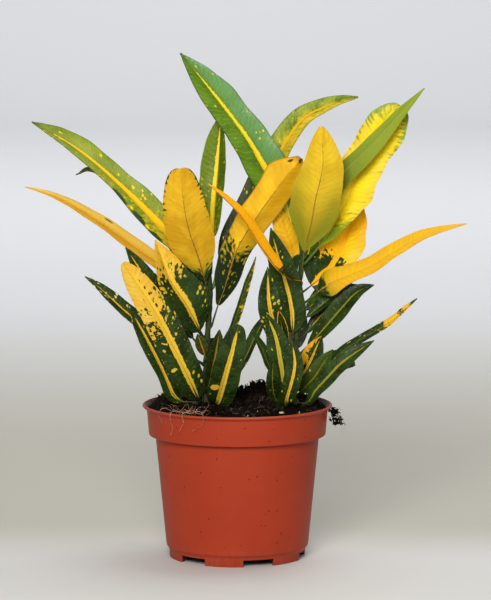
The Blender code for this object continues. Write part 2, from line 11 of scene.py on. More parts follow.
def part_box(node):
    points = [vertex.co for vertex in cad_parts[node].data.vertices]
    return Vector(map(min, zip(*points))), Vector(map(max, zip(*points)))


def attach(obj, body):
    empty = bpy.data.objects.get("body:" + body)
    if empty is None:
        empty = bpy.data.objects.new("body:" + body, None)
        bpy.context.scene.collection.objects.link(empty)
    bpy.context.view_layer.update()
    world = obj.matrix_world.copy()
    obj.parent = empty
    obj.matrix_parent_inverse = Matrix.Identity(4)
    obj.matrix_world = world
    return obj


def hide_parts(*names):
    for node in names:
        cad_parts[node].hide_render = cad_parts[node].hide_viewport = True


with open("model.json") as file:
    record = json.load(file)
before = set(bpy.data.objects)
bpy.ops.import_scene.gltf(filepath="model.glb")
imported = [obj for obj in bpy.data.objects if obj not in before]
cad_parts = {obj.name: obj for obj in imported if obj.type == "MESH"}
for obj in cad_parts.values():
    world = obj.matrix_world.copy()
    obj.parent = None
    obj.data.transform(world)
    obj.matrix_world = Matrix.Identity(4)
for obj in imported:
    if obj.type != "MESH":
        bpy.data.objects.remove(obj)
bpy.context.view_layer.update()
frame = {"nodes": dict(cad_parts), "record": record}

MM = 0.001
bpy.ops.object.select_all(action="DESELECT")

# Leaf colours, as the light sees them.
DARK_GREEN = (0.009, 0.019, 0.003)
DEEP_GREEN = (0.033, 0.066, 0.011)
LEAF_GREEN = (0.060, 0.130, 0.006)
FRESH_GREEN = (0.150, 0.260, 0.018)
SAGE_GREEN = (0.240, 0.310, 0.022)
OLIVE = (0.250, 0.240, 0.010)
LIME = (0.380, 0.430, 0.026)
LEMON = (0.980, 0.640, 0.009)
GOLD = (0.830, 0.480, 0.013)
AMBER = (0.560, 0.290, 0.007)
ORANGE = (0.880, 0.390, 0.003)
BUTTER = (0.810, 0.510, 0.040)
RIB_YELLOW = (0.860, 0.660, 0.018)
PALE_YELLOW = (0.760, 0.640, 0.230)
FRECKLE = (0.180, 0.200, 0.024)
BROWN = (0.090, 0.048, 0.010)
RIDGE_BROWN = (0.320, 0.160, 0.012)
PALE_UNDERSIDE = (0.400, 0.380, 0.080)

# Colours of the pot, the peat and what lies on it.
TERRACOTTA = (0.385, 0.043, 0.016)
TERRACOTTA_DEEP = (0.340, 0.037, 0.013)
TERRACOTTA_PALE = (0.560, 0.140, 0.080)
TERRACOTTA_SPECK = (0.090, 0.008, 0.005)
DUST = (0.450, 0.330, 0.240)
PEAT_BLACK = (0.0022, 0.0014, 0.0009)
PEAT_DARK = (0.010, 0.0062, 0.0038)
PEAT_BROWN = (0.050, 0.026, 0.015)
FIBRE_TAN = (0.240, 0.140, 0.080)
HAIR_GREY = (0.300, 0.270, 0.230)
ROOT_BROWN = (0.200, 0.095, 0.050)
ROOT_PINK = (0.640, 0.330, 0.210)
PERLITE_SHADE = (0.420, 0.340, 0.150)
PERLITE_WHITE = (0.700, 0.610, 0.340)
STEM_BROWN = (0.060, 0.048, 0.022)
STEM_GREEN = (0.036, 0.060, 0.010)
STEM_DARK = (0.012, 0.016, 0.005)
STEM_PALE = (0.180, 0.160, 0.060)

# The backdrop paper, from the front of the floor to the wall; the middle colour is painted shade.
PAPER_FRONT = (0.700, 0.690, 0.660)
PAPER_PAINTED_SHADE = (0.510, 0.488, 0.418)
PAPER_BACK = (0.740, 0.745, 0.755)
# Where the camera stands, in metres, and how far it looks down, in degrees.
CAMERA_PLACE = (0.00038, -2.4, 0.45)
CAMERA_DIP = 6.8157
CAMERA_LENS = 230.13
# The soft light that comes from all round.
AIR_COLOUR = (0.97, 0.98, 1.0, 1.0)
AIR_STRENGTH = 0.18
# Each softbox's name, place, target, size, power and tint.
PLANT_MIDDLE = (0.0, 0.0, 0.15)
SOFTBOXES = (
    ("key_softbox", (-0.22, -1.75, 0.95), PLANT_MIDDLE, (0.7, 0.7), 34.0, (1.0, 0.985, 0.95)),
    ("top_softbox", (0.30, 0.30, 1.4), PLANT_MIDDLE, (0.8, 0.8), 8.0, (0.96, 0.99, 1.0)),
    ("wall_softbox", (0.0, 2.2, 2.1), (0.0, 3.9, 0.40), (2.6, 1.4), 39.0, (1.0, 1.0, 1.02)),
    ("paper_softbox", (0.0, 1.0, 2.0), (0.0, 2.9, 0.10), (3.0, 0.8), 18.0, (1.0, 1.0, 1.02)),
)

# What every leaf has unless its own look says otherwise.  yellow, wash and deep are curves of
# (place, share) from the blade's foot to its tip: how far it is yellow, washed over with
# wash_colour, and dark green.  margin is how far the yellow keeps off the edges, where that starts
# and whether only near the tip; tilt adds yellow to the right half.  soft is the width of a patch's
# edge.  rib is the stripe's width at both ends and rag its raggedness, in millimetres.  specks is
# how many round specks there are, dot their size and freckles the small ones.  veins is how much
# they show, and hatch how far green runs in along them.  edge and rim tint the blade's rim.  The
# painted light on one half is a side (-1 left, 1 right), a colour and its share there: a paler
# colour paints a highlight and a darker one paints shade.  spots are single marks: across, along,
# half width, half length, colour.  taper narrows the blade's foot, and bulges widen it: size, place
# and reach.  wobble ruffles the outline, wave and bow bend the blade and quilt swells it between
# the veins.  stalk is the stalk's colour at both ends, ridge the midrib's thickness under the blade,
# pale how far the underside fades, and rough and gloss are the surface's.
COMMON = dict(
    green=(DARK_GREEN, DEEP_GREEN),
    gold=(AMBER, GOLD),
    yellow=((0.0, 0.0), (1.0, 0.05)),
    soft=0.05,
    wash=((0.0, 0.0), (1.0, 0.0)),
    wash_colour=OLIVE,
    margin=(0.0, 0.8, 0.0),
    tilt=0.0,
    rib=(2.6, 1.2),
    rib_colour=BUTTER,
    rag=0.5,
    specks=0.13,
    speck_colour=(0.540, 0.440, 0.036),
    freckles=0.3,
    dot=0.34,
    veins=0.35,
    edge=0.0,
    edge_colour=BROWN,
    rim=0.25,
    deep=((0.0, 0.0), (1.0, 0.0)),
    sheen=(),
    hatch=0.3,
    taper=0.0,
    bulges=(),
    wobble=0.05,
    wave=0.5,
    bow=0.05,
    quilt=1.0,
    rough=0.38,
    gloss=0.17,
    stalk=(DARK_GREEN, OLIVE),
    ridge=1.0,
    pale=0.08,
    spots=(),
)
KINDS = {
    "dark": dict(),
    "green": dict(green=(LEAF_GREEN, FRESH_GREEN), gold=(LIME, LEMON), rib_colour=RIB_YELLOW,
                  stalk=(LEAF_GREEN, RIB_YELLOW), freckles=0.0),
    "gold": dict(yellow=((0.0, 1.3), (1.0, 1.3)), rib=(0.8, 0.4), specks=0.0, rib_colour=RIDGE_BROWN,
                 stalk=(DEEP_GREEN, RIDGE_BROWN), ridge=0.5, pale=0.0, veins=0.22, gloss=0.15),
    "orange": dict(yellow=((0.0, 1.3), (1.0, 1.3)), gold=(GOLD, ORANGE), rib=(0.8, 0.4), specks=0.0,
                   rib_colour=ORANGE, stalk=(DEEP_GREEN, ORANGE), ridge=0.6, pale=0.0, veins=0.22,
                   gloss=0.15),
}


def look(kind, **changes):
    return {**COMMON, **KINDS[kind], **changes}


LOOKS = {
    "left_leaf_01": look("green", green=((0.14, 0.2, 0.008), (0.3, 0.36, 0.024)), soft=0.2,
        gold=((0.45, 0.4, 0.02), (0.62, 0.43, 0.01)), edge=0.6, edge_colour=DEEP_GREEN,
        yellow=((0, 0.75), (0.2, 0.5), (0.45, 0.25), (1, 0.1)), tilt=-0.3, rib=(6.2, 0.9), specks=0.22,
        dot=0.38, speck_colour=LEMON, rib_colour=(0.9, 0.56, 0.012), veins=0.3, rough=0.38,
        deep=((0, 0.0), (0.75, 0.0), (1, 0.7)), spots=((-0.95, 0.44, 2.2, 7.0, DEEP_GREEN),
        (-0.9, 0.3, 2.4, 6.0, DEEP_GREEN), (-1.0, 0.18, 2.6, 6.0, DEEP_GREEN),
        (-0.75, 0.36, 0.9, 1.4, LEMON), (-0.85, 0.24, 0.8, 1.5, LEMON))),
    "left_leaf_02": look("gold", yellow=((0, 0.0), (0.05, 0.25), (0.13, 0.75), (0.22, 1.3), (1, 1.2)),
        soft=0.2, gold=((0.6, 0.315, 0.008), (0.77, 0.45, 0.016)), taper=0.58, rim=0.4, hatch=0.7,
        wash=((0, 1.0), (0.12, 0.5), (0.3, 0.1), (1, 0.0)), margin=(0.75, 0.8, 1.0), rib=(0.9, 0.35),
        rough=0.5),
    "left_leaf_03": look("gold", gold=((0.72, 0.4, 0.01), (0.88, 0.52, 0.014)), soft=0.16,
        yellow=((0, 0.0), (0.14, 0.05), (0.3, 0.35), (0.43, 0.8), (0.55, 1.3), (1, 1.3)),
        wash=((0, 0.9), (0.35, 0.4), (0.6, 0.0), (1, 0.0)), edge=0.6,
        bulges=((0.5, 0.88, 0.09), (0.5, 0.12, 0.15)), wobble=0.08, spots=((0.3, 0.985, 3.5, 1.6, BROWN),
        (-0.55, 0.95, 1.6, 1.8, BROWN), (0.85, 0.9, 0.9, 1.6, BROWN)),
        # Painted shade: the right half is darker, as if turned away from the light.
        sheen=(1, (0.48, 0.25, 0.005), 0.5), rib_colour=AMBER, rough=0.5,
        deep=((0, 1.0), (0.45, 1.0), (0.7, 0.3), (1, 0.0)), hatch=0.15, specks=0.3, dot=0.42,
        speck_colour=OLIVE),
    "left_leaf_04": look("green", green=(LEAF_GREEN, (0.35, 0.41, 0.024)), soft=0.25,
        gold=((0.52, 0.47, 0.03), (0.85, 0.56, 0.03)), specks=0.3,
        yellow=((0, 0.2), (0.4, 0.4), (0.8, 0.5), (1, 0.3)), tilt=0.45, rib=(4.0, 2.4),
        rib_colour=(0.78, 0.48, 0.018), deep=((0, 1.0), (0.3, 0.9), (0.55, 0.1), (1, 0.0)), edge=0.4,
        edge_colour=DEEP_GREEN, gloss=0.12),
    "left_leaf_05": look("green", green=((0.055, 0.105, 0.004), (0.12, 0.2, 0.007)), gold=(OLIVE, LIME),
        yellow=((0, 0.6), (0.25, 0.4), (0.5, 0.2), (1, 0.2)), rib=(6.0, 2.0), rag=0.8, soft=0.2,
        specks=0.15, sheen=(-1, (0.2, 0.27, 0.012), 0.6)),
    "left_leaf_06": look("dark", green=(DEEP_GREEN, (0.08, 0.11, 0.03)), rib=(0.8, 0.4)),
    "left_leaf_07": look("orange", gold=((0.7, 0.35, 0.01), (0.76, 0.4, 0.026)),
        # Painted highlight: the upper, right half is paler, as if lit.
        sheen=(1, (0.86, 0.62, 0.1), 0.6), spots=((0.7, 0.52, 0.8, 3.2, BROWN),)),
    "left_leaf_08": look("dark", yellow=((0, 0.0), (0.42, 0.1), (0.62, 0.42), (0.78, 0.75), (1, 1.05)),
        rib=(4.0, 5.0), specks=0.16, rag=1.0, dot=0.46, hatch=0.0, bulges=((0.45, 0.22, 0.3),),
        gold=((0.76, 0.44, 0.03), (0.85, 0.55, 0.06))),
    "left_leaf_09": look("dark",
        yellow=((0, 0.0), (0.36, 0.08), (0.5, 0.28), (0.62, 0.52), (0.78, 0.8), (1, 1.05)),
        rib=(4.4, 5.0), specks=0.08, tilt=-0.14, rag=1.0, dot=0.46, hatch=0.0,
        gold=((0.76, 0.44, 0.04), (0.85, 0.55, 0.08)),
        spots=((-0.62, 0.27, 2.0, 1.2, BUTTER), (0.74, 0.12, 0.9, 1.3, BUTTER))),
    "left_leaf_10": look("dark", rib=(2.6, 2.0)),
    "left_leaf_11": look("dark", rib=(2.2, 1.2), rib_colour=GOLD, specks=0.65, dot=0.42,
        speck_colour=PALE_YELLOW),
    "left_leaf_12": look("dark", rib=(3.0, 1.8), specks=0.12, tilt=-0.1, bulges=((0.8, 0.08, 0.14),)),
    "left_leaf_13": look("dark", rib=(4.2, 2.8), specks=0.08, spots=((-0.5, 0.3, 3.0, 2.2, BUTTER),)),
    "left_leaf_14": look("dark", rib=(2.2, 1.4), rib_colour=(0.3, 0.17, 0.012)),
    "left_leaf_15": look("dark", green=(DEEP_GREEN, (0.05, 0.08, 0.01)), tilt=0.35,
        yellow=((0, 0.1), (1, 0.3)), rib=(1.4, 0.8), rib_colour=OLIVE),
    "left_leaf_16": look("dark", rib=(1.6, 1.0), rib_colour=OLIVE),
    "left_leaf_17": look("dark", green=(DEEP_GREEN, BROWN), rib=(1.4, 0.8), rib_colour=AMBER),
    "left_leaf_18": look("dark", rib=(1.6, 1.0)),
    "left_leaf_19": look("green", yellow=((0, 0.1), (0.5, 0.4), (1, 0.6)), rib=(3.4, 1.4)),
    "left_leaf_20": look("dark", green=(DEEP_GREEN, LEAF_GREEN), yellow=((0, 0.1), (1, 0.75)),
        rib=(3.4, 2.4), specks=0.15),
    "left_leaf_21": look("dark", yellow=((0, 0.0), (0.5, 0.1), (1, 0.6)), rib=(3.0, 2.0), specks=0.2),
    "left_leaf_22": look("dark", rib=(2.8, 1.4), specks=0.15),
    "left_leaf_23": look("dark", rib=(2.6, 1.4), specks=0.1),
    "right_leaf_01": look("green", green=((0.07, 0.155, 0.006), (0.14, 0.27, 0.012)), rib=(5.4, 1.6),
        rag=1.2, specks=0.2, speck_colour=LEMON, rough=0.34, gloss=0.6, veins=0.55, quilt=2.4, pale=0.0,
        # Painted reflection: the right half turns a paler bluish green on its swellings, as a painted
        # highlight.
        edge=0.7, edge_colour=DEEP_GREEN, sheen=(1, (0.11, 0.31, 0.09), 0.85), wobble=0.08, hatch=0.0),
    "right_leaf_02": look("orange", gold=(ORANGE, ORANGE), margin=(0.6, 0.86, 0.0), green=(OLIVE, LIME),
        yellow=((0, 0.0), (0.16, 0.1), (0.26, 0.9), (0.34, 1.3), (1, 1.3)), hatch=0.0,
        deep=((0, 1.0), (0.24, 0.9), (0.34, 0.0), (1, 0.0)), rib=(0.2, 0.4), taper=0.6),
    "right_leaf_03": look("gold", gold=((0.68, 0.43, 0.012), (0.8, 0.53, 0.022)), taper=0.62, wobble=0.07,
        green=(DEEP_GREEN, SAGE_GREEN), soft=0.2, yellow=((0, 0.9), (0.3, 1.2), (1, 1.3)),
        margin=(0.35, 0.7, 0.0), wash=((0, 1.2), (0.15, 1.0), (0.4, 0.55), (0.65, 0.25), (1, 0.0)),
        rib=(0.9, 0.35), rib_colour=(0.3, 0.19, 0.015), rough=0.5),
    "right_leaf_04": look("green", green=((0.14, 0.23, 0.01), (0.32, 0.42, 0.014)), soft=0.32, hatch=0.5,
        wobble=0.14, taper=0.6, bulges=((0.28, 0.42, 0.16), (0.12, 0.86, 0.1)),
        gold=((0.92, 0.65, 0.01), (1.0, 0.74, 0.012)),
        yellow=((0, 0.0), (0.1, 0.15), (0.24, 0.8), (0.4, 1.3), (0.7, 1.2), (0.86, 0.8), (1, 0.5)),
        margin=(0.45, 0.6, 0.5), rib=(3.0, 1.0), rib_colour=LEMON, wave=1.8, veins=0.1, specks=0.0,
        pale=0.0),
    "right_leaf_05": look("green", green=(SAGE_GREEN, (0.26, 0.33, 0.028)), rib=(0.6, 0.3),
        rib_colour=(0.2, 0.26, 0.02), stalk=(LEAF_GREEN, SAGE_GREEN), ridge=0.5, specks=0.0, veins=0.1,
        rough=0.55, yellow=((0, 0.0), (1, 0.0)), pale=0.0,
        deep=((0, 0.6), (0.35, 0.4), (0.6, 0.05), (1, 0)), edge=0.3, edge_colour=(0.4, 0.36, 0.08)),
    "right_leaf_06": look("orange", gold=((0.96, 0.45, 0.004), (1.0, 0.58, 0.008)), specks=0.15,
        yellow=((0, 0.0), (0.2, 0.12), (0.36, 0.5), (0.48, 1.0), (0.56, 1.3), (1, 1.3)), hatch=0.0,
        bulges=((2.6, 0.07, 0.13),), rib=(4.4, 3.2), rib_colour=(0.98, 0.48, 0.004), wobble=0.1),
    "right_leaf_07": look("orange", gold=((0.6, 0.3, 0.005), GOLD),
        yellow=((0, 0.0), (0.2, 0.1), (0.34, 1.0), (1, 1.3))),
    "right_leaf_08": look("dark", rib=(2.6, 1.4), bulges=((0.9, 0.08, 0.16), (0.3, 0.45, 0.4))),
    "right_leaf_09": look("dark", bulges=((0.5, 0.08, 0.16), (0.2, 0.55, 0.4)), rib=(2.6, 2.0),
        specks=0.6, dot=0.4, gold=(OLIVE, BUTTER)),
    "right_leaf_10": look("dark", rib=(3.4, 2.4), specks=0.3, dot=0.34, rib_colour=(0.62, 0.47, 0.04)),
    "right_leaf_11": look("orange", green=(DARK_GREEN, DEEP_GREEN), yellow=((0, 0.0), (1, 0.3)),
        rib=(1.0, 0.6), margin=(-0.9, 0.8, 0.0)),
    "right_leaf_12": look("dark", rib=(4.0, 2.8), rag=0.5,
        bulges=((-0.36, 0.45, 0.5), (0.6, 0.06, 0.12))),
    "right_leaf_13": look("dark", rib=(1.2, 0.6), rib_colour=OLIVE, bulges=((0.8, 0.1, 0.2),)),
    "right_leaf_14": look("dark", rib=(1.4, 0.8), rib_colour=OLIVE),
    "right_leaf_15": look("orange", gold=(GOLD, (0.77, 0.42, 0.018)),
        wash=((0, 0.9), (0.08, 0.4), (0.2, 0), (1, 0)), bulges=((1.1, 0.05, 0.1),),
        yellow=((0, 0.1), (0.05, 0.4), (0.16, 1.2), (1, 1.3)), soft=0.2, hatch=0.1),
    "right_leaf_16": look("dark", rib=(1.4, 0.8)),
    "right_leaf_17": look("dark", rib=(2.0, 1.2), rib_colour=OLIVE, specks=0.12, dot=0.24),
    "right_leaf_18": look("dark", rib=(1.2, 0.6), rib_colour=OLIVE),
    "right_leaf_19": look("dark", yellow=((0, 0.0), (0.25, 0.2), (0.5, 0.05), (1, -0.2)), tilt=-1.2,
        gold=(AMBER, ORANGE)),
    "right_leaf_20": look("dark", green=(DEEP_GREEN, (0.06, 0.09, 0.01)), rib=(1.6, 0.8),
        rib_colour=OLIVE),
    "right_leaf_21": look("dark", yellow=((0, 0.0), (0.5, 0.15), (0.66, 0.35), (0.74, 0.75), (0.8, 0.8),
        (0.85, 0.4), (0.9, 0.65), (0.95, 0.4), (1, 0.0)), hatch=0.0, gold=(GOLD, (0.85, 0.43, 0.02)),
        rib=(1.0, 0.4), specks=0.4, dot=0.34, rib_colour=OLIVE, bulges=((-0.34, 0.45, 0.5),)),
    "right_leaf_22": look("dark", rib=(2.4, 1.4), rib_colour=(0.32, 0.27, 0.03), specks=0.03),
    "right_leaf_23": look("green", yellow=((0, 0.1), (0.5, 0.3), (1, 0.7)), rib=(3.6, 1.6)),
    "right_leaf_24": look("dark", green=(DEEP_GREEN, LEAF_GREEN), yellow=((0, 0.1), (1, 0.7)),
        rib=(3.0, 2.2), specks=0.15),
    "right_leaf_25": look("dark", yellow=((0, 0.0), (1, 0.4)), rib=(3.0, 1.8), specks=0.2),
    "right_leaf_26": look("dark", rib=(2.4, 1.4), specks=0.15),
    "right_leaf_27": look("dark", yellow=((0, 0.0), (1, 0.5)), rib=(2.6, 1.6), specks=0.15),
}

# A blade's thickness, its grid, and its veins' distance and how far they lean to the tip.
LEAF_THICKNESS = 0.5
COLUMNS = 20
ROWS = 72
VEIN_SPACING = 3.6
VEIN_LEAN = 0.55
STEM_SIDES = 10

# The pot's feet and where the first one is, how finely it is rounded, and the peat's top.
FEET = 6
FIRST_FOOT = -101.5
POT_SIDES = 120
CORNER_STEPS = 4
PEAT_SIDES = 150
PEAT_RINGS = 56
PEAT_LEVEL = 95.3
# Peat heaped round the stems' feet: place, rise and spread in millimetres.
PEAT_HEAPS = ((-24, -8, 3.0, 12), (29, -10, 3.0, 11), (-29, -20, 2.6, 9))
# How high a plumb line on to the peat starts, in metres, and how many models its crumbs have.
PLUMB_TOP = 0.2
LUMPS = 5
# How many crumbs, shards and loose fibres the peat has, and the clump on the rim.
CRUMBS = 1500
SHARDS = 260
LITTER = 190
CLODS = 46
CLOD_SHREDS = 34
# Small pale grains on the peat: place in millimetres and size.
GRAINS = ((-8, -51, 0.9), (14, -46, 0.6), (-30, -30, 0.5), (2, -38, 0.5), (34, -28, 0.7), (-12, 30, 0.8),
          (20, 40, 0.9), (-40, 6, 0.6), (44, 4, 0.6), (8, -24, 0.5))


# ---------------------------------------------------------------- materials

def node(tree, kind, inputs=None, **settings):
    """A new node with its settings made and its inputs set or linked."""
    item = tree.nodes.new(kind)
    for key, value in settings.items():
        setattr(item, key, value)
    for key, value in (inputs or {}).items():
        if isinstance(value, bpy.types.NodeSocket):
            tree.links.new(value, item.inputs[key])
        else:
            item.inputs[key].default_value = value
    return item


def calc(tree, operation, a, b=0.0, c=0.0):
    return node(tree, "ShaderNodeMath", {0: a, 1: b, 2: c}, operation=operation).outputs[0]


def times(tree, a, b):
    return calc(tree, "MULTIPLY", a, b)


def parts_of(tree, vector):
    return node(tree, "ShaderNodeSeparateXYZ", {0: vector}).outputs


def own_place(tree):
    """The place on the object itself, in metres."""
    return node(tree, "ShaderNodeTexCoord").outputs["Object"]


def step(tree, value, low, high, start=0.0, end=1.0):
    """A smooth step of value from low to high."""
    inputs = {"Value": value, "From Min": low, "From Max": high, "To Min": start, "To Max": end}
    return node(tree, "ShaderNodeMapRange", inputs, interpolation_type="SMOOTHSTEP").outputs[0]


def colour(value):
    return (*value, 1.0) if isinstance(value, tuple) else value


def blend(tree, share, first, second):
    inputs = {0: share, 6: colour(first), 7: colour(second)}
    return node(tree, "ShaderNodeMix", inputs, data_type="RGBA", clamp_factor=True).outputs[2]


def profile(tree, value, points):
    """A share that runs through (place, share) points."""
    places = node(tree, "ShaderNodeFloatCurve", {"Value": value})
    curve = places.mapping.curves[0]
    most = max(1.0, max(height for _, height in points))
    points = [(place, height / most) for place, height in points]
    curve.points[0].location = points[0]
    curve.points[1].location = points[-1]
    for point in points[1:-1]:
        curve.points.new(*point)
    places.mapping.update()
    return times(tree, places.outputs[0], most)


def cloud(tree, vector, scale, detail=2.0, roughness=0.5, seed=0.0):
    inputs = {"Vector": vector, "W": seed, "Scale": scale, "Detail": detail, "Roughness": roughness}
    return node(tree, "ShaderNodeTexNoise", inputs, noise_dimensions="4D").outputs[0]


def new_material(name, rough, **sockets):
    material = bpy.data.materials.new(name)
    material.use_nodes = True
    shader = material.node_tree.nodes["Principled BSDF"]
    shader.inputs["Roughness"].default_value = rough
    for key, value in sockets.items():
        shader.inputs[key.replace("_", " ")].default_value = value
    return material, material.node_tree, shader


def paint(tree, shader, tone):
    tree.links.new(tone, shader.inputs["Base Color"])


def bump(tree, shader, height, depth):
    lift = node(tree, "ShaderNodeBump", {"Height": height, "Distance": depth, "Strength": 1.0})
    tree.links.new(lift.outputs[0], shader.inputs["Normal"])


def leaf_map(tree, width, length, seed):
    """What a blade's pattern is made from: places in millimetres or as shares, mottling and veins."""
    parts = parts_of(tree, node(tree, "ShaderNodeUVMap", uv_map="UVMap").outputs[0])
    across = calc(tree, "MULTIPLY_ADD", parts[0], 2.0, -1.0)
    aside = calc(tree, "ABSOLUTE", across)
    away = times(tree, aside, width / 2)
    x = times(tree, across, width / 2)
    y = times(tree, parts[1], length)
    slant = calc(tree, "MULTIPLY_ADD", away, -VEIN_LEAN, y)
    spot = node(tree, "ShaderNodeCombineXYZ", {0: x, 1: slant, 2: seed}).outputs[0]
    place = dict(across=across, aside=aside, along=parts[1], away=away, x=x, y=y, slant=slant, spot=spot)
    place["wide"] = cloud(tree, spot, 0.09, 2.0, 0.5, seed + 1.0)
    place["fine"] = cloud(tree, stretched(tree, spot, 0.6, 1.0), 1.0, 4.0, 0.65, seed + 2.0)
    place["vein"], place["ripple"] = vein_share(tree, place, seed)
    return place


def stretched(tree, vector, x, y):
    return node(tree, "ShaderNodeMapping", {"Vector": vector, "Scale": (x, y, 1.0)}).outputs[0]


def yellow_field(tree, place, spec):
    """How near a place is to being yellow, where 0.5 is the edge of a patch."""
    field = profile(tree, place["along"], spec["yellow"])
    field = calc(tree, "MULTIPLY_ADD", place["across"], spec["tilt"], field)
    strength, start, tipward = spec["margin"]
    if strength:
        rim = step(tree, place["aside"], start, 1.0, 0.0, strength)
        if tipward:
            rim = times(tree, rim, step(tree, place["along"], 0.45, 0.85, 1 - tipward, 1.0))
        field = calc(tree, "SUBTRACT", field, rim)
    fingers = times(tree, place["ripple"], step(tree, place["aside"], 0.15, 0.9, 0.0, spec["hatch"]))
    return calc(tree, "SUBTRACT", field, fingers)


def yellow_share(tree, place, spec, seed):
    """The ragged yellow patches, and the specks that lie in the green near their edges."""
    field = yellow_field(tree, place, spec)
    patches = cloud(tree, stretched(tree, place["spot"], 0.22, 0.30), 1.0, 3.0, 0.6, seed)
    ragged = calc(tree, "ADD", field, calc(tree, "MULTIPLY_ADD", patches, 1.8, -0.9))
    share = step(tree, ragged, 0.5 - spec["soft"], 0.5 + spec["soft"])
    if not spec["specks"]:
        return share, 0.0
    more = step(tree, field, 0.0, 0.5, spec["specks"], 0.75 + spec["specks"])
    specks = dots(tree, place, 0.42, more, spec["dot"], seed + 11.0)
    fewer = step(tree, field, 0.45, 1.0, 0.75, 0.0)
    green = dots(tree, place, 0.36, fewer, spec["dot"] + 0.06, seed + 17.0)
    share = times(tree, share, calc(tree, "SUBTRACT", 1.0, green))
    return share, times(tree, specks, calc(tree, "SUBTRACT", 1.0, share))


def dots(tree, place, scale, amount, size, seed):
    """Round dots of uneven size, in as many of the cells as amount says."""
    spread = stretched(tree, place["spot"], scale, 0.85 * scale)
    cells = node(tree, "ShaderNodeTexVoronoi", {"Vector": spread, "W": seed, "Scale": 1.0, "Randomness": 1.0},
                 voronoi_dimensions="4D")
    parts = parts_of(tree, cells.outputs["Color"])
    present = step(tree, calc(tree, "SUBTRACT", amount, parts[0]), 0.0, 0.02)
    wobble = cloud(tree, place["spot"], 1.3, 2.0, 0.5, seed + 1.0)
    radius = calc(tree, "MULTIPLY_ADD", parts[1], 0.22, size - 0.32)
    radius = calc(tree, "ADD", radius, times(tree, wobble, 0.30))
    inside = step(tree, calc(tree, "SUBTRACT", radius, cells.outputs["Distance"]), -0.05, 0.05)
    return times(tree, present, inside)


def rib_share(tree, place, spec, seed):
    """The ragged stripe along the midrib."""
    foot, tip = (size / 2 for size in spec["rib"])
    half = calc(tree, "MULTIPLY_ADD", place["along"], tip - foot, foot)
    ragged = cloud(tree, stretched(tree, place["spot"], 0.5, 0.45), 1.0, 2.0, 0.6, seed + 3.0)
    ragged = calc(tree, "MULTIPLY_ADD", ragged, 2 * spec["rag"], -spec["rag"])
    half = calc(tree, "ADD", half, ragged)
    half = calc(tree, "SUBTRACT", half, step(tree, place["along"], 0.86, 1.0, 0.0, foot))
    return step(tree, calc(tree, "SUBTRACT", half, place["away"]), -0.15, 0.2)


def vein_share(tree, place, seed):
    """Lateral veins, from the midrib out and towards the tip, as thin lines and as broad ripples."""
    wander = cloud(tree, stretched(tree, place["spot"], 0.08, 0.08), 1.0, 1.0, 0.5, seed + 7.0)
    turn = calc(tree, "MULTIPLY_ADD", place["slant"], math.tau / VEIN_SPACING, times(tree, wander, 16.0))
    wave = calc(tree, "SINE", turn)
    patchy = cloud(tree, stretched(tree, place["spot"], 0.25, 0.4), 1.0, 2.0, 0.5, seed + 9.0)
    faint = step(tree, patchy, 0.35, 0.6, 0.25, 1.0)
    line, ripple = step(tree, wave, 0.70, 1.0), step(tree, wave, -0.6, 1.0)
    return times(tree, line, faint), times(tree, ripple, faint)


def spot_share(tree, place, spot, width, length):
    """One patch at a place across and along, with its half sizes."""
    across, along, wide, tall, _ = spot
    x = calc(tree, "MULTIPLY_ADD", place["x"], 1 / wide, -across * width / 2 / wide)
    y = calc(tree, "MULTIPLY_ADD", place["y"], 1 / tall, -along * length / tall)
    distance = calc(tree, "SQRT", calc(tree, "ADD", times(tree, x, x), times(tree, y, y)))
    wobble = cloud(tree, place["spot"], 0.6, 2.0, 0.5, along * 9.0)
    return step(tree, calc(tree, "MULTIPLY_ADD", wobble, -0.8, distance), 0.75, 0.5)


def painted_side_share(tree, place, spec):
    """The half of a blade that gets painted light: a paler colour paints a highlight, a darker one shade."""
    side, _, share = spec["sheen"]
    return step(tree, times(tree, place["across"], side), 0.02, 0.35, 0.0, share)


def leaf_green(tree, place, spec, seed):
    first, second = spec["green"]
    tone = calc(tree, "MULTIPLY_ADD", place["fine"], 0.5, times(tree, place["wide"], 0.5))
    green = blend(tree, step(tree, tone, 0.36, 0.64), first, second)
    bright = tuple(min(1.0, 1.5 * part) for part in second)
    green = blend(tree, times(tree, place["vein"], spec["veins"]), green, bright)
    if spec["freckles"]:
        freckled = dots(tree, place, 0.85, spec["freckles"], 0.36, seed + 23.0)
        green = blend(tree, times(tree, freckled, 0.75), green, FRECKLE)
    # Painted light on one half, strongest on the swellings between the veins: a paler colour is a painted
    # highlight, a darker one painted shade.
    if spec["sheen"]:
        painted_pillow_light = calc(tree, "MULTIPLY_ADD", place["ripple"], -0.6, place["fine"])
        painted_lit = times(tree, painted_side_share(tree, place, spec), step(tree, painted_pillow_light, 0.0, 0.6, 0.3, 1.0))
        green = blend(tree, painted_lit, green, spec["sheen"][1])
    return blend(tree, profile(tree, place["along"], spec["deep"]), green, DARK_GREEN)


def leaf_gold(tree, place, spec):
    gold = blend(tree, step(tree, place["wide"], 0.35, 0.65), *spec["gold"])
    gold = blend(tree, times(tree, place["ripple"], spec["veins"]), gold, AMBER)
    # Painted light on one half: a paler colour is a painted highlight, a darker one painted shade.
    if spec["sheen"]:
        gold = blend(tree, painted_side_share(tree, place, spec), gold, spec["sheen"][1])
    gold = blend(tree, step(tree, place["aside"], 0.45, 1.0, 0.0, spec["rim"]), gold, AMBER)
    washed = calc(tree, "MULTIPLY_ADD", place["fine"], 0.3, profile(tree, place["along"], spec["wash"]))
    washed = times(tree, washed, step(tree, place["aside"], 0.0, 0.9, 0.7, 1.25))
    return blend(tree, step(tree, washed, 0.15, 1.15), gold, spec["wash_colour"])


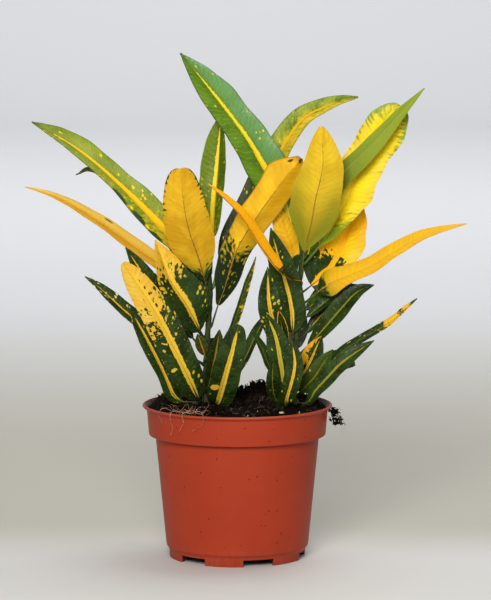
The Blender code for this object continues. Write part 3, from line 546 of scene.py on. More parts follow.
def leaf_skin(tree, place, spec, seed):
    """Green and gold in their places, with specks and the midrib's stripe."""
    yellow, specks = yellow_share(tree, place, spec, seed)
    skin = blend(tree, yellow, leaf_green(tree, place, spec, seed), leaf_gold(tree, place, spec))
    if spec["specks"]:
        skin = blend(tree, specks, skin, spec["speck_colour"])
    return blend(tree, rib_share(tree, place, spec, seed), skin, spec["rib_colour"])


def leaf_material(name, spec, width, length, seed, under):
    """A variegated leaf's skin, upper side or underside."""
    material, tree, shader = new_material(name, spec["rough"] + (0.08 if under else 0.0), IOR=1.45)
    shader.inputs["Specular IOR Level"].default_value = spec["gloss"]
    place = leaf_map(tree, width, length, seed)
    skin = leaf_skin(tree, place, spec, seed)
    for spot in spec["spots"]:
        skin = blend(tree, spot_share(tree, place, spot, width, length), skin, spot[-1])
    if spec["edge"]:
        sides, tip = step(tree, place["aside"], 0.9, 1.0), step(tree, place["along"], 0.94, 1.0)
        rim = times(tree, calc(tree, "MAXIMUM", sides, tip), spec["edge"])
        skin = blend(tree, rim, skin, spec["edge_colour"])
    if under and spec["pale"]:
        skin = blend(tree, spec["pale"], skin, PALE_UNDERSIDE)
    paint(tree, shader, skin)
    relief = times(tree, place["fine"], 0.6)
    relief = calc(tree, "MULTIPLY_ADD", place["vein"], 0.5 if under else -0.5, relief)
    bump(tree, shader, relief, 0.18 * MM)
    return material


def stalk_material(name, spec, seed):
    """The stalk and the raised midrib, from its foot's colour to its tip's."""
    material, tree, shader = new_material(name, 0.45)
    along = node(tree, "ShaderNodeAttribute", attribute_name="along").outputs["Fac"]
    place = own_place(tree)
    grain = cloud(tree, place, 900.0, 2.0, 0.6, seed)
    share = calc(tree, "MULTIPLY_ADD", grain, 0.3, calc(tree, "SUBTRACT", along, 0.15))
    foot, tip = spec["stalk"]
    skin = blend(tree, step(tree, share, 0.05, 0.40), foot, tip)
    paint(tree, shader, skin)
    bump(tree, shader, grain, 0.08 * MM)
    return material


# ---------------------------------------------------------------- tools for shapes

def between(values, marks, share):
    """The smooth curve through values at their marks."""
    last = len(values) - 1
    index = 0
    while index < last - 1 and share > marks[index + 1]:
        index += 1

    def slope(k):
        low, high = max(k - 1, 0), min(k + 1, last)
        return (values[high] - values[low]) * (1 / (marks[high] - marks[low]))

    span = marks[index + 1] - marks[index]
    t = min(max((share - marks[index]) / span, 0.0), 1.0)
    return (values[index] * (2 * t ** 3 - 3 * t ** 2 + 1) + slope(index) * (span * (t ** 3 - 2 * t ** 2 + t))
            + values[index + 1] * (3 * t ** 2 - 2 * t ** 3) + slope(index + 1) * (span * (t ** 3 - t ** 2)))


def marks_along(points):
    """Each point's share of the line's length."""
    marks = [0.0]
    for first, second in zip(points, points[1:]):
        marks.append(marks[-1] + (second - first).length)
    return [mark / marks[-1] for mark in marks]


def strands(name, lines, resolution=2):
    """Round strands as one mesh.  Each line is a list of (point, radius), in metres."""
    bpy.ops.curve.primitive_nurbs_path_add(location=(0, 0, 0))
    path = bpy.context.object
    path.name = name
    path.data.splines.clear()
    path.data.bevel_depth = 1.0
    path.data.bevel_resolution = resolution
    path.data.use_fill_caps = True
    for line in lines:
        spline = path.data.splines.new("POLY")
        spline.points.add(len(line) - 1)
        for knot, (point, radius) in zip(spline.points, line):
            knot.co = (*point, 1.0)
            knot.radius = radius
    bpy.ops.object.convert(target="MESH")
    path.data.name = name
    return path


def only(*items):
    bpy.ops.object.select_all(action="DESELECT")
    for item in items:
        item.select_set(True)
    bpy.context.view_layer.objects.active = items[0]


def joined(first, *others):
    only(first, *others)
    bpy.ops.object.join()


def discard(items):
    for item in items:
        bpy.data.objects.remove(item, do_unlink=True)


def surface_tree(item):
    corners = [corner.co.copy() for corner in item.data.vertices]
    return BVHTree.FromPolygons(corners, [tuple(face.vertices) for face in item.data.polygons])


def drop(surface, x, y):
    """Where a plumb line from above meets a surface, and the way the surface faces there."""
    return surface.ray_cast(Vector((x, y, PLUMB_TOP)), Vector((0, 0, -1)))[:2]


def apply_modifier(item, kind, **settings):
    only(item)
    bpy.ops.object.modifier_add(type=kind)
    modifier = item.modifiers[-1]
    for key, value in settings.items():
        setattr(modifier, key, value)
    bpy.ops.object.modifier_apply(modifier=modifier.name)


def smooth(item, angle=50.0):
    only(item)
    bpy.ops.object.shade_smooth_by_angle(angle=math.radians(angle))


def finish_piece(item, slot, *nodes):
    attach(item, "root")
    if nodes:
        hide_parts(*nodes)


# ---------------------------------------------------------------- leaves

def merged_shape(node_name):
    shape = bmesh.new()
    shape.from_mesh(frame["nodes"][node_name].data)
    bmesh.ops.remove_doubles(shape, verts=shape.verts, dist=0.001 * MM)
    shape.verts.index_update()
    return shape


def rings_from(ring):
    """The places of a first ring's corners, then those of each ring of neighbours after it."""
    seen = set(ring)
    while ring:
        yield [corner.co.copy() for corner in ring]
        beyond = {edge.other_vert(corner) for corner in ring for edge in corner.link_edges} - seen
        ring = sorted(beyond, key=lambda corner: corner.index)
        seen |= beyond


def middle(places):
    return sum(places, Vector()) / len(places)


def leaf_rings(name, stem):
    """A leaf's cross-sections from the stalk's foot to the tip, six corners each."""
    shape = merged_shape(name)
    first = min(shape.verts, key=lambda corner: stem.find_nearest(corner.co)[3])
    rings = list(rings_from(sorted(shape.verts, key=lambda corner: (corner.co - first.co).length)[:6]))
    shape.free()
    return rings


def ring_lines(ring, across):
    """The left margin, midrib and right margin of a cross-section."""
    corners = sorted(ring, key=lambda corner: corner.dot(across))
    return [(corners[k] + corners[k + 1]) / 2 for k in (0, 2, 4)]


def widest_direction(ring):
    pairs = [(a - b) for a in ring for b in ring]
    return max(pairs, key=lambda step: step.length)


def course(points, k):
    """The way a line of points runs at one of them."""
    return (points[min(k + 1, len(points) - 1)] - points[max(k - 1, 0)]).normalized()


def leaf_shape(name, stem):
    """A blade's lines from its rings: midrib, half widths and the directions of both halves."""
    rings = leaf_rings(name, stem)
    centres = [middle(ring) for ring in rings]
    reaches = [widest_direction(ring) for ring in rings]
    wide = max(reach.length for reach in reaches)
    across = {}
    for k, reach in enumerate(reaches):
        if reach.length > 0.25 * wide and reach.length > 4 * MM:
            level = Vector((0, 1, 0)).cross(course(centres, k))
            reach = reach if reach.dot(level) > 0 else -reach
            left, _, right = ring_lines(rings[k], reach.normalized())
            across[k] = (right - left).normalized()
    directions = [across[min(across, key=lambda other: abs(other - k))] for k in range(len(rings))]
    lines = [ring_lines(ring, direction) for ring, direction in zip(rings, directions)]
    return describe(lines, directions, centres)


def describe(lines, across, centres):
    middles = [line[1] for line in lines]
    facing = [across[k].cross(course(centres, k)).normalized() for k in range(len(lines))]
    reach = [((line[1] - line[0]).length + (line[2] - line[1]).length) / 2 for line in lines]
    left = [(line[0] - line[1]).normalized() for line in lines]
    right = [(line[2] - line[1]).normalized() for line in lines]
    lift = sum(((line[0] + line[2]) / 2 - line[1]).dot(out) for line, out in zip(lines, facing))
    length = sum((b - a).length for a, b in zip(middles[1:], middles[2:]))
    return dict(middle=middles, facing=facing, left=left, right=right, width=2 * max(reach),
                squares=[size * size for size in reach[1:]], upper=1.0 if lift > 0 else -1.0,
                marks=marks_along(middles[1:]), all_marks=marks_along(middles), length=length)


def row_of(shape, share):
    """The blade's frame at a share of its length."""
    marks = shape["marks"]
    half = math.sqrt(max(between(shape["squares"], marks, share), (0.2 * MM) ** 2))
    ways = [between(shape[key][1:], marks, share).normalized() for key in ("left", "right", "facing")]
    return (between(shape["middle"][1:], marks, share), half, *ways)


def blade_point(shape, row, across, along, spec, seed):
    """A blade's corner, from its row's frame and its place from -1 to 1 across and 0 to 1 along."""
    rib, half, left, right, facing = row
    aside = abs(across)
    side = 1.0 if across > 0 else -1.0
    fade = math.sin(math.pi * min(1.0, max(0.0, along))) ** 0.5
    outline = 1 + spec["wobble"] * noise.noise(Vector((along * 9, side * 4, seed))) * fade
    outline *= 1 - spec["taper"] * max(0.0, 1 - along / 0.34) ** 1.5
    bulge = 0
    for size, where, reach in spec["bulges"]:
        bulge += size * math.exp(-((along - where) / reach) ** 2)
    outline *= 1 + bulge
    point = rib + (right if across > 0 else left) * (half * outline * aside)
    upper = facing * shape["upper"]
    groove = 0.25 * MM * math.exp(-(aside * half / (1.0 * MM)) ** 2)
    point += upper * (spec["bow"] * half * math.sin(math.pi * aside) - groove)
    slant = (along * shape["length"] - VEIN_LEAN * aside * half) / (VEIN_SPACING * MM)
    quilt = 0.07 * spec["quilt"] * MM * math.sin(math.tau * slant) * 4 * aside * (1 - aside)
    ripple = spec["wave"] * MM * aside ** 2 * fade * 1.6
    return point + facing * (quilt + ripple * noise.noise(Vector((along * 7, side * 3, seed + 5))))


def add_blade(name, shape, spec, seed):
    """The blade as a grid laid on the leaf's lines, finer near the midrib and the tip."""
    bpy.ops.mesh.primitive_grid_add(x_subdivisions=COLUMNS, y_subdivisions=ROWS, size=2)
    leaf = bpy.context.object
    leaf.name = name
    leaf.data.name = name
    rows, flat = {}, []
    for corner in leaf.data.vertices:
        across = math.copysign(abs(corner.co.x) ** 1.3, corner.co.x)
        along = 1 - (1 - (corner.co.y + 1) / 2) ** 1.25
        key = round(corner.co.y, 5)
        if key not in rows:
            rows[key] = row_of(shape, 0.995 * along)
        flat.append(((across + 1) / 2, along))
        corner.co = blade_point(shape, rows[key], across, along, spec, seed)
    layer = leaf.data.uv_layers[0]
    layer.name = "UVMap"
    for loop in leaf.data.loops:
        layer.data[loop.index].uv = flat[loop.vertex_index]
    return leaf


def add_stalk(name, shape, stem, spec):
    """The stalk from inside the stem and the midrib that it becomes under the blade."""
    ribs, marks, upper = shape["middle"], shape["all_marks"], shape["upper"]
    nearest, normal = stem.find_nearest(ribs[0])[:2]
    line = [(nearest - normal * 0.8 * MM - Vector((0, 0, 1.2 * MM)), 1.25 * MM)]
    for k in range(31):
        share = k / 30 * 0.985
        stem_part = max(0.0, 1 - share / max(marks[1], 0.05))
        radius = (0.22 + 0.33 * stem_part + spec["ridge"] * (0.42 - 0.38 * share)) * MM
        sink = min(1.0, max(0.0, (share - marks[1]) / 0.12))
        facing = between(shape["facing"], marks, share).normalized()
        line.append((between(ribs, marks, share) - facing * upper * radius * 0.75 * sink, radius))
    stalk = strands(name, [line], 2)
    along = stalk.data.attributes.new("along", "FLOAT", "POINT")
    for corner, entry in zip(stalk.data.vertices, along.data):
        nearest = min(range(len(line)), key=lambda k: (line[k][0] - corner.co).length_squared)
        entry.value = nearest / (len(line) - 1)
    return stalk


def add_leaf(node_name, stem, seed):
    spec = LOOKS[node_name]
    name = "croton_" + node_name
    shape = leaf_shape(node_name, stem)
    leaf = add_blade(name, shape, spec, seed)
    width, length = shape["width"] / MM, shape["length"] / MM
    sides = [leaf_material(f"{name}_{label}", spec, width, length, seed, under)
             for label, under in (("upper", False), ("under", True))]
    for material in (sides if shape["upper"] > 0 else sides[::-1]):
        leaf.data.materials.append(material)
    apply_modifier(leaf, "SOLIDIFY", thickness=LEAF_THICKNESS * MM, offset=0.0, material_offset=1)
    stalk = add_stalk(name + "_stalk", shape, stem, spec)
    stalk.data.materials.append(stalk_material(name + "_stalk", spec, seed))
    joined(leaf, stalk)
    smooth(leaf)
    finish_piece(leaf, frame_slot(node_name), node_name)


def frame_slot(node_name):
    """The finish that the record gives a node."""
    for material in frame["record"]["materials"]:
        if node_name in material.get("nodes", ()):
            return material["slot"]
    return "leaf_green"


def add_leaves():
    stems = {side: surface_tree(frame["nodes"][f"{side}_stem"]) for side in ("left", "right")}
    for number, node_name in enumerate(sorted(LOOKS)):
        add_leaf(node_name, stems[node_name.split("_")[0]], 1.0 + number * 3.7)


# ---------------------------------------------------------------- pot

def axis_of(node_name):
    """A node's axis, taken down to the ground."""
    low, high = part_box(node_name)
    return Vector(((low[0] + high[0]) / 2, (low[1] + high[1]) / 2, 0.0))


def turned(name, profile, centre, sides):
    """A ring drawn out along a profile of (radius, height) in millimetres, left in edit mode."""
    radius, height = profile[0]
    bpy.ops.object.select_all(action="DESELECT")
    bpy.ops.mesh.primitive_circle_add(vertices=sides, radius=radius * MM,
                                      location=(centre.x, centre.y, height * MM))
    item = bpy.context.object
    item.name = item.data.name = name
    bpy.ops.object.transform_apply(location=True)
    bpy.ops.object.mode_set(mode="EDIT")
    bpy.ops.mesh.select_mode(type="EDGE")
    bpy.ops.mesh.select_all(action="SELECT")
    for next_radius, next_height in profile[1:]:
        bpy.ops.mesh.extrude_region_move(
            TRANSFORM_OT_translate={"value": (0, 0, (next_height - height) * MM)})
        grow = next_radius / radius
        bpy.ops.transform.resize(value=(grow, grow, 1.0), center_override=(centre.x, centre.y, 0))
        radius, height = next_radius, next_height
    return item


def rounded(radius, height, reach, start, end):
    """Points of a rounded corner in a profile, from one angle to the other."""
    angles = [math.radians(start + (end - start) * k / CORNER_STEPS) for k in range(CORNER_STEPS + 1)]
    return [(radius + reach * math.cos(angle), height + reach * math.sin(angle)) for angle in angles]


def pot_profile():
    """The wall from the lip's top down the outside, under the base and up the inside."""
    outside = [(58.2, 96.9), (58.5, 97.2), (59.2, 97.2)]
    outside += rounded(59.2, 96.4, 0.8, 80, -60)
    outside += [(57.9, 95.2), (57.35, 94.6), (57.15, 93.6), (56.0, 79.6)]
    outside += rounded(55.3, 78.6, 0.6, -5, -90)
    outside += [(52.6, 78.0), (51.9, 77.6), (51.6, 76.8), (51.5, 75.4), (51.3, 72.6)]
    outside += [(45.1, 9.2)] + rounded(43.8, 8.0, 1.1, 0, -70)
    outside += [(43.6, 5.8), (43.1, 4.8), (42.9, 0.5)]
    under = [(42.5, 0.0), (40.5, 0.0), (40.1, 0.4), (40.0, 4.4), (39.4, 5.0), (5.6, 5.0), (5.0, 5.3)]
    inside = [(5.0, 6.2), (5.5, 6.4), (41.6, 6.4), (42.8, 7.2), (43.6, 9.0), (49.7, 75.5), (50.6, 77.4)]
    inside += [(53.9, 78.6), (54.7, 80.4), (55.7, 94.2), (56.3, 95.4)]
    return outside + under + inside


def subtract(item, cutter):
    apply_modifier(item, "BOOLEAN", operation="DIFFERENCE", solver="EXACT", object=cutter)
    discard([cutter])


def foot_cutters(centre):
    """Boxes for the gaps between the feet and drums for the drain holes, both round the axis."""
    cutters = []
    for number in range(FEET):
        angle = math.radians(FIRST_FOOT + (number + 0.5) * 360 / FEET)
        away = Vector((math.cos(angle), math.sin(angle), 0))
        gap = centre + away * 41.5 * MM + Vector((0, 0, 1.75 * MM))
        hole = centre + away * 26 * MM + Vector((0, 0, 5 * MM))
        bpy.ops.object.select_all(action="DESELECT")
        bpy.ops.mesh.primitive_cube_add(size=1, location=gap, rotation=(0, 0, angle),
                                        scale=(12 * MM, 20 * MM, 5.5 * MM))
        cutters.append(bpy.context.object)
        bpy.ops.mesh.primitive_cylinder_add(vertices=32, radius=4 * MM, depth=6 * MM, location=hole)
        cutters.append(bpy.context.object)
    return cutters


def plastic_skin(tree, place, broad, scuffs):
    """The pot's own colour, with scuffs, specks, dust near the ground and a worn lip."""
    height = parts_of(tree, place)[2]
    cells = node(tree, "ShaderNodeTexVoronoi", {"Vector": place, "Scale": 400.0})
    chance = parts_of(tree, cells.outputs["Color"])[0]
    dirt = times(tree, step(tree, chance, 0.955, 0.960), step(tree, cells.outputs["Distance"], 0.30, 0.16))
    skin = blend(tree, step(tree, broad, 0.35, 0.65), TERRACOTTA_DEEP, TERRACOTTA)
    skin = blend(tree, step(tree, scuffs, 0.60, 0.80, 0.0, 0.12), skin, TERRACOTTA_PALE)
    skin = blend(tree, times(tree, dirt, 0.75), skin, TERRACOTTA_SPECK)
    dusty = times(tree, step(tree, height, 0.016, 0.002), step(tree, scuffs, 0.35, 0.7))
    skin = blend(tree, times(tree, dusty, 0.07), skin, DUST)
    worn = times(tree, step(tree, height, 0.0952, 0.0966), step(tree, broad, 0.3, 0.6, 0.05, 0.25))
    return blend(tree, worn, skin, TERRACOTTA_PALE)


def pot_shades(tree, place, centre, scuffs, skin):
    """Darker on the wall's inside near the peat's top, and painted shade inside the foot ring and in the
    groove under the band.
    """
    height = parts_of(tree, place)[2]
    level = node(tree, "ShaderNodeMapping", {"Vector": place, "Location": (-centre.x, -centre.y, 0.0),
                                             "Scale": (1.0, 1.0, 0.0)}).outputs[0]
    radius = node(tree, "ShaderNodeVectorMath", {0: level}, operation="LENGTH").outputs["Value"]
    # The limit is the radius half way through the wall, which flares out under the lip.
    above = calc(tree, "MAXIMUM", calc(tree, "SUBTRACT", height, 0.0945), 0.0)
    limit = calc(tree, "MULTIPLY_ADD", height, 0.0786, 0.0490)
    limit = calc(tree, "MULTIPLY_ADD", above, 0.75, limit)
    # The wall's inside darkens towards the peat's dark colour from below the peat's top up to the lip.
    inner_darkening = calc(tree, "MULTIPLY_ADD", scuffs, 0.006, height)
    inner_darkening = times(tree, calc(tree, "LESS_THAN", radius, limit), step(tree, inner_darkening, 0.086, 0.0965, 0.0, 0.9))
    skin = blend(tree, inner_darkening, skin, PEAT_DARK)
    # Painted shade: the base's underside and the inside of the foot ring turn dark, as if in the pot's
    # shadow.
    under = times(tree, step(tree, height, 0.0056, 0.0050), step(tree, radius, 0.0424, 0.0414))
    skin = blend(tree, times(tree, under, 0.85), skin, PEAT_DARK)
    # Painted shade: a dark line on the body just under the band, where the band's overhang shades it.
    groove = times(tree, step(tree, height, 0.0762, 0.0772), step(tree, height, 0.0786, 0.0780))
    return blend(tree, times(tree, groove, 0.45), skin, TERRACOTTA_SPECK)


def pot_material(centre):
    material, tree, shader = new_material("pot_plastic", 0.42, IOR=1.38)
    shader.inputs["Specular IOR Level"].default_value = 0.18
    place = own_place(tree)
    broad = cloud(tree, place, 14.0, 3.0, 0.6, 2.0)
    drawn = node(tree, "ShaderNodeMapping", {"Vector": place, "Scale": (1.0, 1.0, 0.12)}).outputs[0]
    scuffs = cloud(tree, drawn, 420.0, 3.0, 0.7, 5.0)
    grain = cloud(tree, place, 2600.0, 2.0, 0.6, 3.0)
    paint(tree, shader, pot_shades(tree, place, centre, scuffs, plastic_skin(tree, place, broad, scuffs)))
    rough = calc(tree, "MULTIPLY_ADD", broad, 0.14, calc(tree, "MULTIPLY_ADD", scuffs, 0.12, 0.32))
    tree.links.new(rough, shader.inputs["Roughness"])
    bump(tree, shader, calc(tree, "MULTIPLY_ADD", broad, 1.2, times(tree, grain, 0.12)), 0.25 * MM)
    return material


def add_pot():
    centre = axis_of("pot")
    pot = turned("croton_pot", pot_profile(), centre, POT_SIDES)
    bpy.ops.mesh.select_all(action="DESELECT")
    bpy.ops.mesh.select_non_manifold()
    bpy.ops.mesh.bridge_edge_loops()
    bpy.ops.mesh.select_all(action="SELECT")
    bpy.ops.mesh.remove_doubles(threshold=0.01 * MM)
    bpy.ops.mesh.normals_make_consistent(inside=False)
    bpy.ops.object.mode_set(mode="OBJECT")
    for cutter in foot_cutters(centre):
        subtract(pot, cutter)
    apply_modifier(pot, "BEVEL", width=0.3 * MM, segments=2, limit_method="ANGLE",
                   angle_limit=math.radians(50))
    pot.data.materials.clear()
    pot.data.materials.append(pot_material(centre))
    smooth(pot, 40.0)
    finish_piece(pot, frame_slot("pot"), "pot")


# ---------------------------------------------------------------- peat

def peat_material(name="peat"):
    material, tree, shader = new_material(name, 0.92, IOR=1.4)
    shader.inputs["Specular IOR Level"].default_value = 0.1
    place = own_place(tree)
    crumbs = cloud(tree, place, 420.0, 4.0, 0.65, 1.0)
    broad = cloud(tree, place, 60.0, 3.0, 0.6, 4.0)
    fine = cloud(tree, place, 1500.0, 3.0, 0.6, 6.0)
    skin = blend(tree, step(tree, crumbs, 0.42, 0.62), PEAT_BLACK, PEAT_DARK)
    brown = times(tree, step(tree, broad, 0.5, 0.66), step(tree, fine, 0.45, 0.62))
    height = parts_of(tree, place)[2]
    brown = times(tree, brown, step(tree, height, 0.098, 0.104, 1.0, 0.15))
    skin = blend(tree, step(tree, height, 0.098, 0.104, 0.0, 0.7), skin, PEAT_BLACK)
    skin = blend(tree, brown, skin, PEAT_BROWN)
    paint(tree, shader, skin)
    bump(tree, shader, calc(tree, "MULTIPLY_ADD", crumbs, 1.0, times(tree, fine, 0.4)), 0.8 * MM)
    return material


def peat_profile(level):
    """Up the side of the peat and in over its top, in fine rings."""
    rings = [(37.5, 8.2), (42.6, 12.2), (48.7, 77.4), (52.8, 80.8), (55.3, level - 1.2)]
    rings += [(55.3 - 54.9 * k / PEAT_RINGS, level) for k in range(1, PEAT_RINGS + 1)]
    return rings


def rough_peat(place, moundness):
    """How far the crumbled surface stands off the smooth one, in millimetres."""
    spot = place / MM
    coarse = noise.noise(spot * 0.17) * 1.3
    crumb = noise.turbulence(spot * 0.42, 3, False) * 1.5 - 0.8
    jag = abs(noise.noise(spot * 0.33 + Vector((7, 3, 1)))) * 9.0 * moundness
    return coarse + crumb * (1 + moundness) + jag - 2.5 * moundness


def heaped(x, y, height):
    """A height in metres with the peat that is heaped there round the stems."""
    for heap_x, heap_y, rise, spread in PEAT_HEAPS:
        away = (Vector((x, y)) / MM - Vector((heap_x, heap_y))).length_squared
        height += rise * MM * math.exp(-away / (2 * spread ** 2))
    return height


def shape_peat(item, centre, tree, level):
    """Lays the smooth top on the peat's solid and crumbles it, most of all on the mounds."""
    for corner in item.data.vertices:
        if corner.co.z < (level - 2) * MM:
            continue
        aside = (corner.co - centre).to_2d().length
        hit = drop(tree, corner.co.x, corner.co.y)[0]
        smooth_height = max(hit.z if hit else 0.0, (level - 0.4) * MM)
        smooth_height = heaped(corner.co.x, corner.co.y, smooth_height)
        moundness = min(1.0, max(0.0, (smooth_height / MM - level - 2.5) / 9.0))
        inner = min(1.0, max(0.0, (55.4 * MM - aside) / (4 * MM)))
        place = Vector((corner.co.x, corner.co.y, smooth_height))
        lift = rough_peat(place, moundness) * (0.35 + 0.65 * inner)
        corner.co.z = smooth_height + lift * MM
        if moundness > 0.05:
            spots = (place / MM * 0.5, place / MM * 0.5 + Vector((9, 9, 9)))
            push = Vector([noise.noise(spot) for spot in spots] + [0])
            corner.co += push * 1.6 * moundness * MM


def lump(name, fineness, seed, rough=0.45):
    """One crumb round the origin, with a reach of up to about 1.  Fineness 1 has 20 faces, 2 has 80."""
    bpy.ops.object.select_all(action="DESELECT")
    bpy.ops.mesh.primitive_ico_sphere_add(subdivisions=fineness, radius=1.0)
    item = bpy.context.object
    item.name = name
    bpy.ops.object.mode_set(mode="EDIT")
    bpy.ops.transform.resize(value=(1.0, 0.8, 0.65), center_override=(0, 0, 0))
    bpy.ops.object.mode_set(mode="OBJECT")
    for corner in item.data.vertices:
        corner.co *= 1 + rough * noise.noise(corner.co * 1.9 + Vector((seed, seed, seed)))
    return item


def scattered(name, models, places):
    """Copies of small models in one mesh.  Each place is (model, position, size, turn)."""
    shape = bmesh.new()
    for model, position, size, turn in places:
        first = len(shape.verts)
        shape.from_mesh(models[model].data)
        shape.verts.ensure_lookup_table()
        move = Matrix.Translation(position) @ turn.to_matrix().to_4x4() @ Matrix.Diagonal((*size, 1.0))
        for corner in shape.verts[first:]:
            corner.co = move @ corner.co
    item = models[0].copy()
    item.data = bpy.data.meshes.new(name)
    item.name = name
    bpy.context.scene.collection.objects.link(item)
    shape.to_mesh(item.data)
    shape.free()
    return item


def random_turn(chance):
    return Euler([chance.uniform(0, math.tau) for _ in range(3)])


def random_way(chance, *spans):
    """A direction with each part between a low and a high limit."""
    return Vector([chance.uniform(*span) for span in spans])


def random_sides(chance, size, low, high):
    return [size * chance.uniform(low, high) * MM for _ in range(3)]


def placed(chance, models, spot, sides):
    """One entry for scattered: any of the models, turned anyhow."""
    return chance.randrange(models), spot, sides, random_turn(chance)


def round_spot(centre, radius, angle):
    return centre + Vector((math.cos(angle), math.sin(angle), 0)) * radius * MM


def spread_crumbs(chance, surface, centre, count):
    """Crumbs over the peat: many small ones and a few big ones, bigger on the mounds."""
    places = []
    while len(places) < count:
        radius, angle = 55.2 * chance.random() ** 0.42, chance.uniform(0, math.tau)
        spot = round_spot(centre, radius, angle)
        hit = drop(surface, spot.x, spot.y)[0]
        if hit is None:
            continue
        size = (0.45 + 1.5 * chance.random() ** 4) * (1.35 if hit.z > 0.100 else 1.0)
        if radius + size > 56.0:
            continue
        sides = random_sides(chance, size, 0.7, 1.25)
        places.append(placed(chance, LUMPS, hit + Vector((0, 0, 0.25 * size * MM)), sides))
    return places


def fibre(chance, start, direction, length, thickness, droop=0.25, wander=0.5):
    """A thin bent strand from a point, as (point, radius) pairs in metres."""
    line, point = [], start.copy()
    heading = direction.normalized()
    count = 9
    for k in range(count):
        line.append((point.copy(), thickness * MM * (1 - 0.55 * k / (count - 1))))
        sway = Vector([chance.uniform(-wander, wander) for _ in range(3)])
        heading = (heading + sway - Vector((0, 0, droop * k / count))).normalized()
        point = point + heading * length * MM / (count - 1)
    return line


def surface_fibres(chance, surface, centre, count):
    """Strands that lie on the peat."""
    lines = []
    while len(lines) < count:
        radius, angle = 52.0 * math.sqrt(chance.random()), chance.uniform(0, math.tau)
        spot = round_spot(centre, radius, angle)
        hit = drop(surface, spot.x, spot.y)[0]
        if hit is None:
            continue
        way = random_way(chance, (-1, 1), (-1, 1), (0.0, 0.5))
        lines.append(fibre(chance, hit, way, chance.uniform(3, 9), chance.uniform(0.09, 0.2), 0.5))
    return lines


def mound_shards(chance, surface, centre, count):
    """Stiff dark shreds that stand out of the peat's mounds."""
    lines = []
    while len(lines) < count:
        x, y = chance.uniform(-52, 52), chance.uniform(-52, 52)
        if math.hypot(x, y) > 51:
            continue
        hit, normal = drop(surface, *(centre + Vector((x, y, 0)) * MM).to_2d())
        if hit is None or hit.z < 0.0995:
            continue
        way = normal + random_way(chance, (-0.7, 0.7), (-0.7, 0.7), (-0.1, 0.5))
        lines.append(fibre(chance, hit - normal * 0.8 * MM, way, chance.uniform(2.0, 4.6),
                           chance.uniform(0.22, 0.55), 0.1, 0.35))
    return lines


def fibre_material(name, dark, pale, rough=0.7):
    material, tree, shader = new_material(name, rough)
    place = own_place(tree)
    broad = cloud(tree, place, 90.0, 3.0, 0.6, 8.0)
    fine = cloud(tree, place, 1800.0, 2.0, 0.5, 9.0)
    tone = calc(tree, "MULTIPLY_ADD", fine, 0.4, times(tree, broad, 0.6))
    paint(tree, shader, blend(tree, step(tree, tone, 0.4, 0.6), dark, pale))
    bump(tree, shader, fine, 0.1 * MM)
    return material


def add_peat():
    centre = axis_of("soil")
    peat = turned("croton_soil", peat_profile(PEAT_LEVEL), centre, PEAT_SIDES)
    bpy.ops.mesh.merge(type="CENTER")
    bpy.ops.mesh.select_all(action="DESELECT")
    bpy.ops.mesh.select_non_manifold()
    bpy.ops.mesh.edge_face_add()
    bpy.ops.mesh.select_all(action="SELECT")
    bpy.ops.mesh.normals_make_consistent(inside=False)
    bpy.ops.object.mode_set(mode="OBJECT")
    shape_peat(peat, centre, surface_tree(frame["nodes"]["soil"]), PEAT_LEVEL)
    peat.data.materials.append(peat_material())
    surface = surface_tree(peat)
    chance = random.Random(11)
    models = [lump(f"crumb_{number}", 1, 1.0 + number) for number in range(LUMPS)]
    crumbs = scattered("crumbs", models, spread_crumbs(chance, surface, centre, CRUMBS))
    crumbs.data.materials.append(peat.data.materials[0])
    shards = strands("shards", mound_shards(chance, surface, centre, SHARDS), 0)
    shards.data.materials.append(peat.data.materials[0])
    litter = strands("litter", surface_fibres(chance, surface, centre, LITTER), 1)
    litter.data.materials.append(fibre_material("peat_fibre", PEAT_BROWN, FIBRE_TAN))
    discard(models)
    joined(peat, crumbs, shards, litter)
    smooth(peat, 60.0)
    finish_piece(peat, frame_slot("soil"), "soil")
    return surface


def clod_places(chance, middle_spot, leftmost):
    """Clods heaped round the clump's middle, further out towards its foot."""
    places = []
    for _ in range(CLODS):
        height = chance.uniform(-5.2, 4.6)
        lean = 1.0 - 0.36 * height
        spot = middle_spot + Vector((chance.gauss(lean, 1.5), chance.gauss(0, 1.6), height)) * MM
        spot.x = max(spot.x, leftmost)
        places.append(placed(chance, LUMPS, spot, random_sides(chance, 1.0, 0.6, 1.7)))
    return places


def clod_shreds(chance, places):
    lines = []
    for number in range(CLOD_SHREDS):
        start = places[number % len(places)][1]
        way = random_way(chance, (0.0, 1.0), (-1, 1), (-0.7, 0.8))
        lines.append(fibre(chance, start, way, chance.uniform(2.5, 5.0), chance.uniform(0.15, 0.35), 0.3))
    return lines


def add_rim_crumb():
    """The clump of peat and hairs caught on the outside of the rim."""
    low, high = (Vector(corner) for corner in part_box("peat_crumb"))
    chance = random.Random(23)
    models = [lump(f"clod_{number}", 1, 5.0 + number, 0.6) for number in range(LUMPS)]
    places = clod_places(chance, (low + high) / 2, low.x + 0.5 * MM)
    clump = scattered("croton_peat_crumb", models, places)
    clump.data.materials.append(peat_material("peat_clump"))
    shreds = strands("shreds", clod_shreds(chance, places), 0)
    shreds.data.materials.append(clump.data.materials[0])
    hairs = [fibre(chance, (low + high) / 2 + Vector((2.0, -1.5, number - 1.0)) * MM,
                   Vector((1.0, -0.3, 0.5 - 0.8 * number)), 11.0 + 2 * number, 0.11, 1.4, 0.25)
             for number in range(3)]
    wisps = strands("wisps", hairs, 1)
    wisps.data.materials.append(fibre_material("hair_root", HAIR_GREY, FIBRE_TAN))
    discard(models)
    joined(clump, shreds, wisps)
    smooth(clump, 60.0)
    finish_piece(clump, frame_slot("peat_crumb"), "peat_crumb")


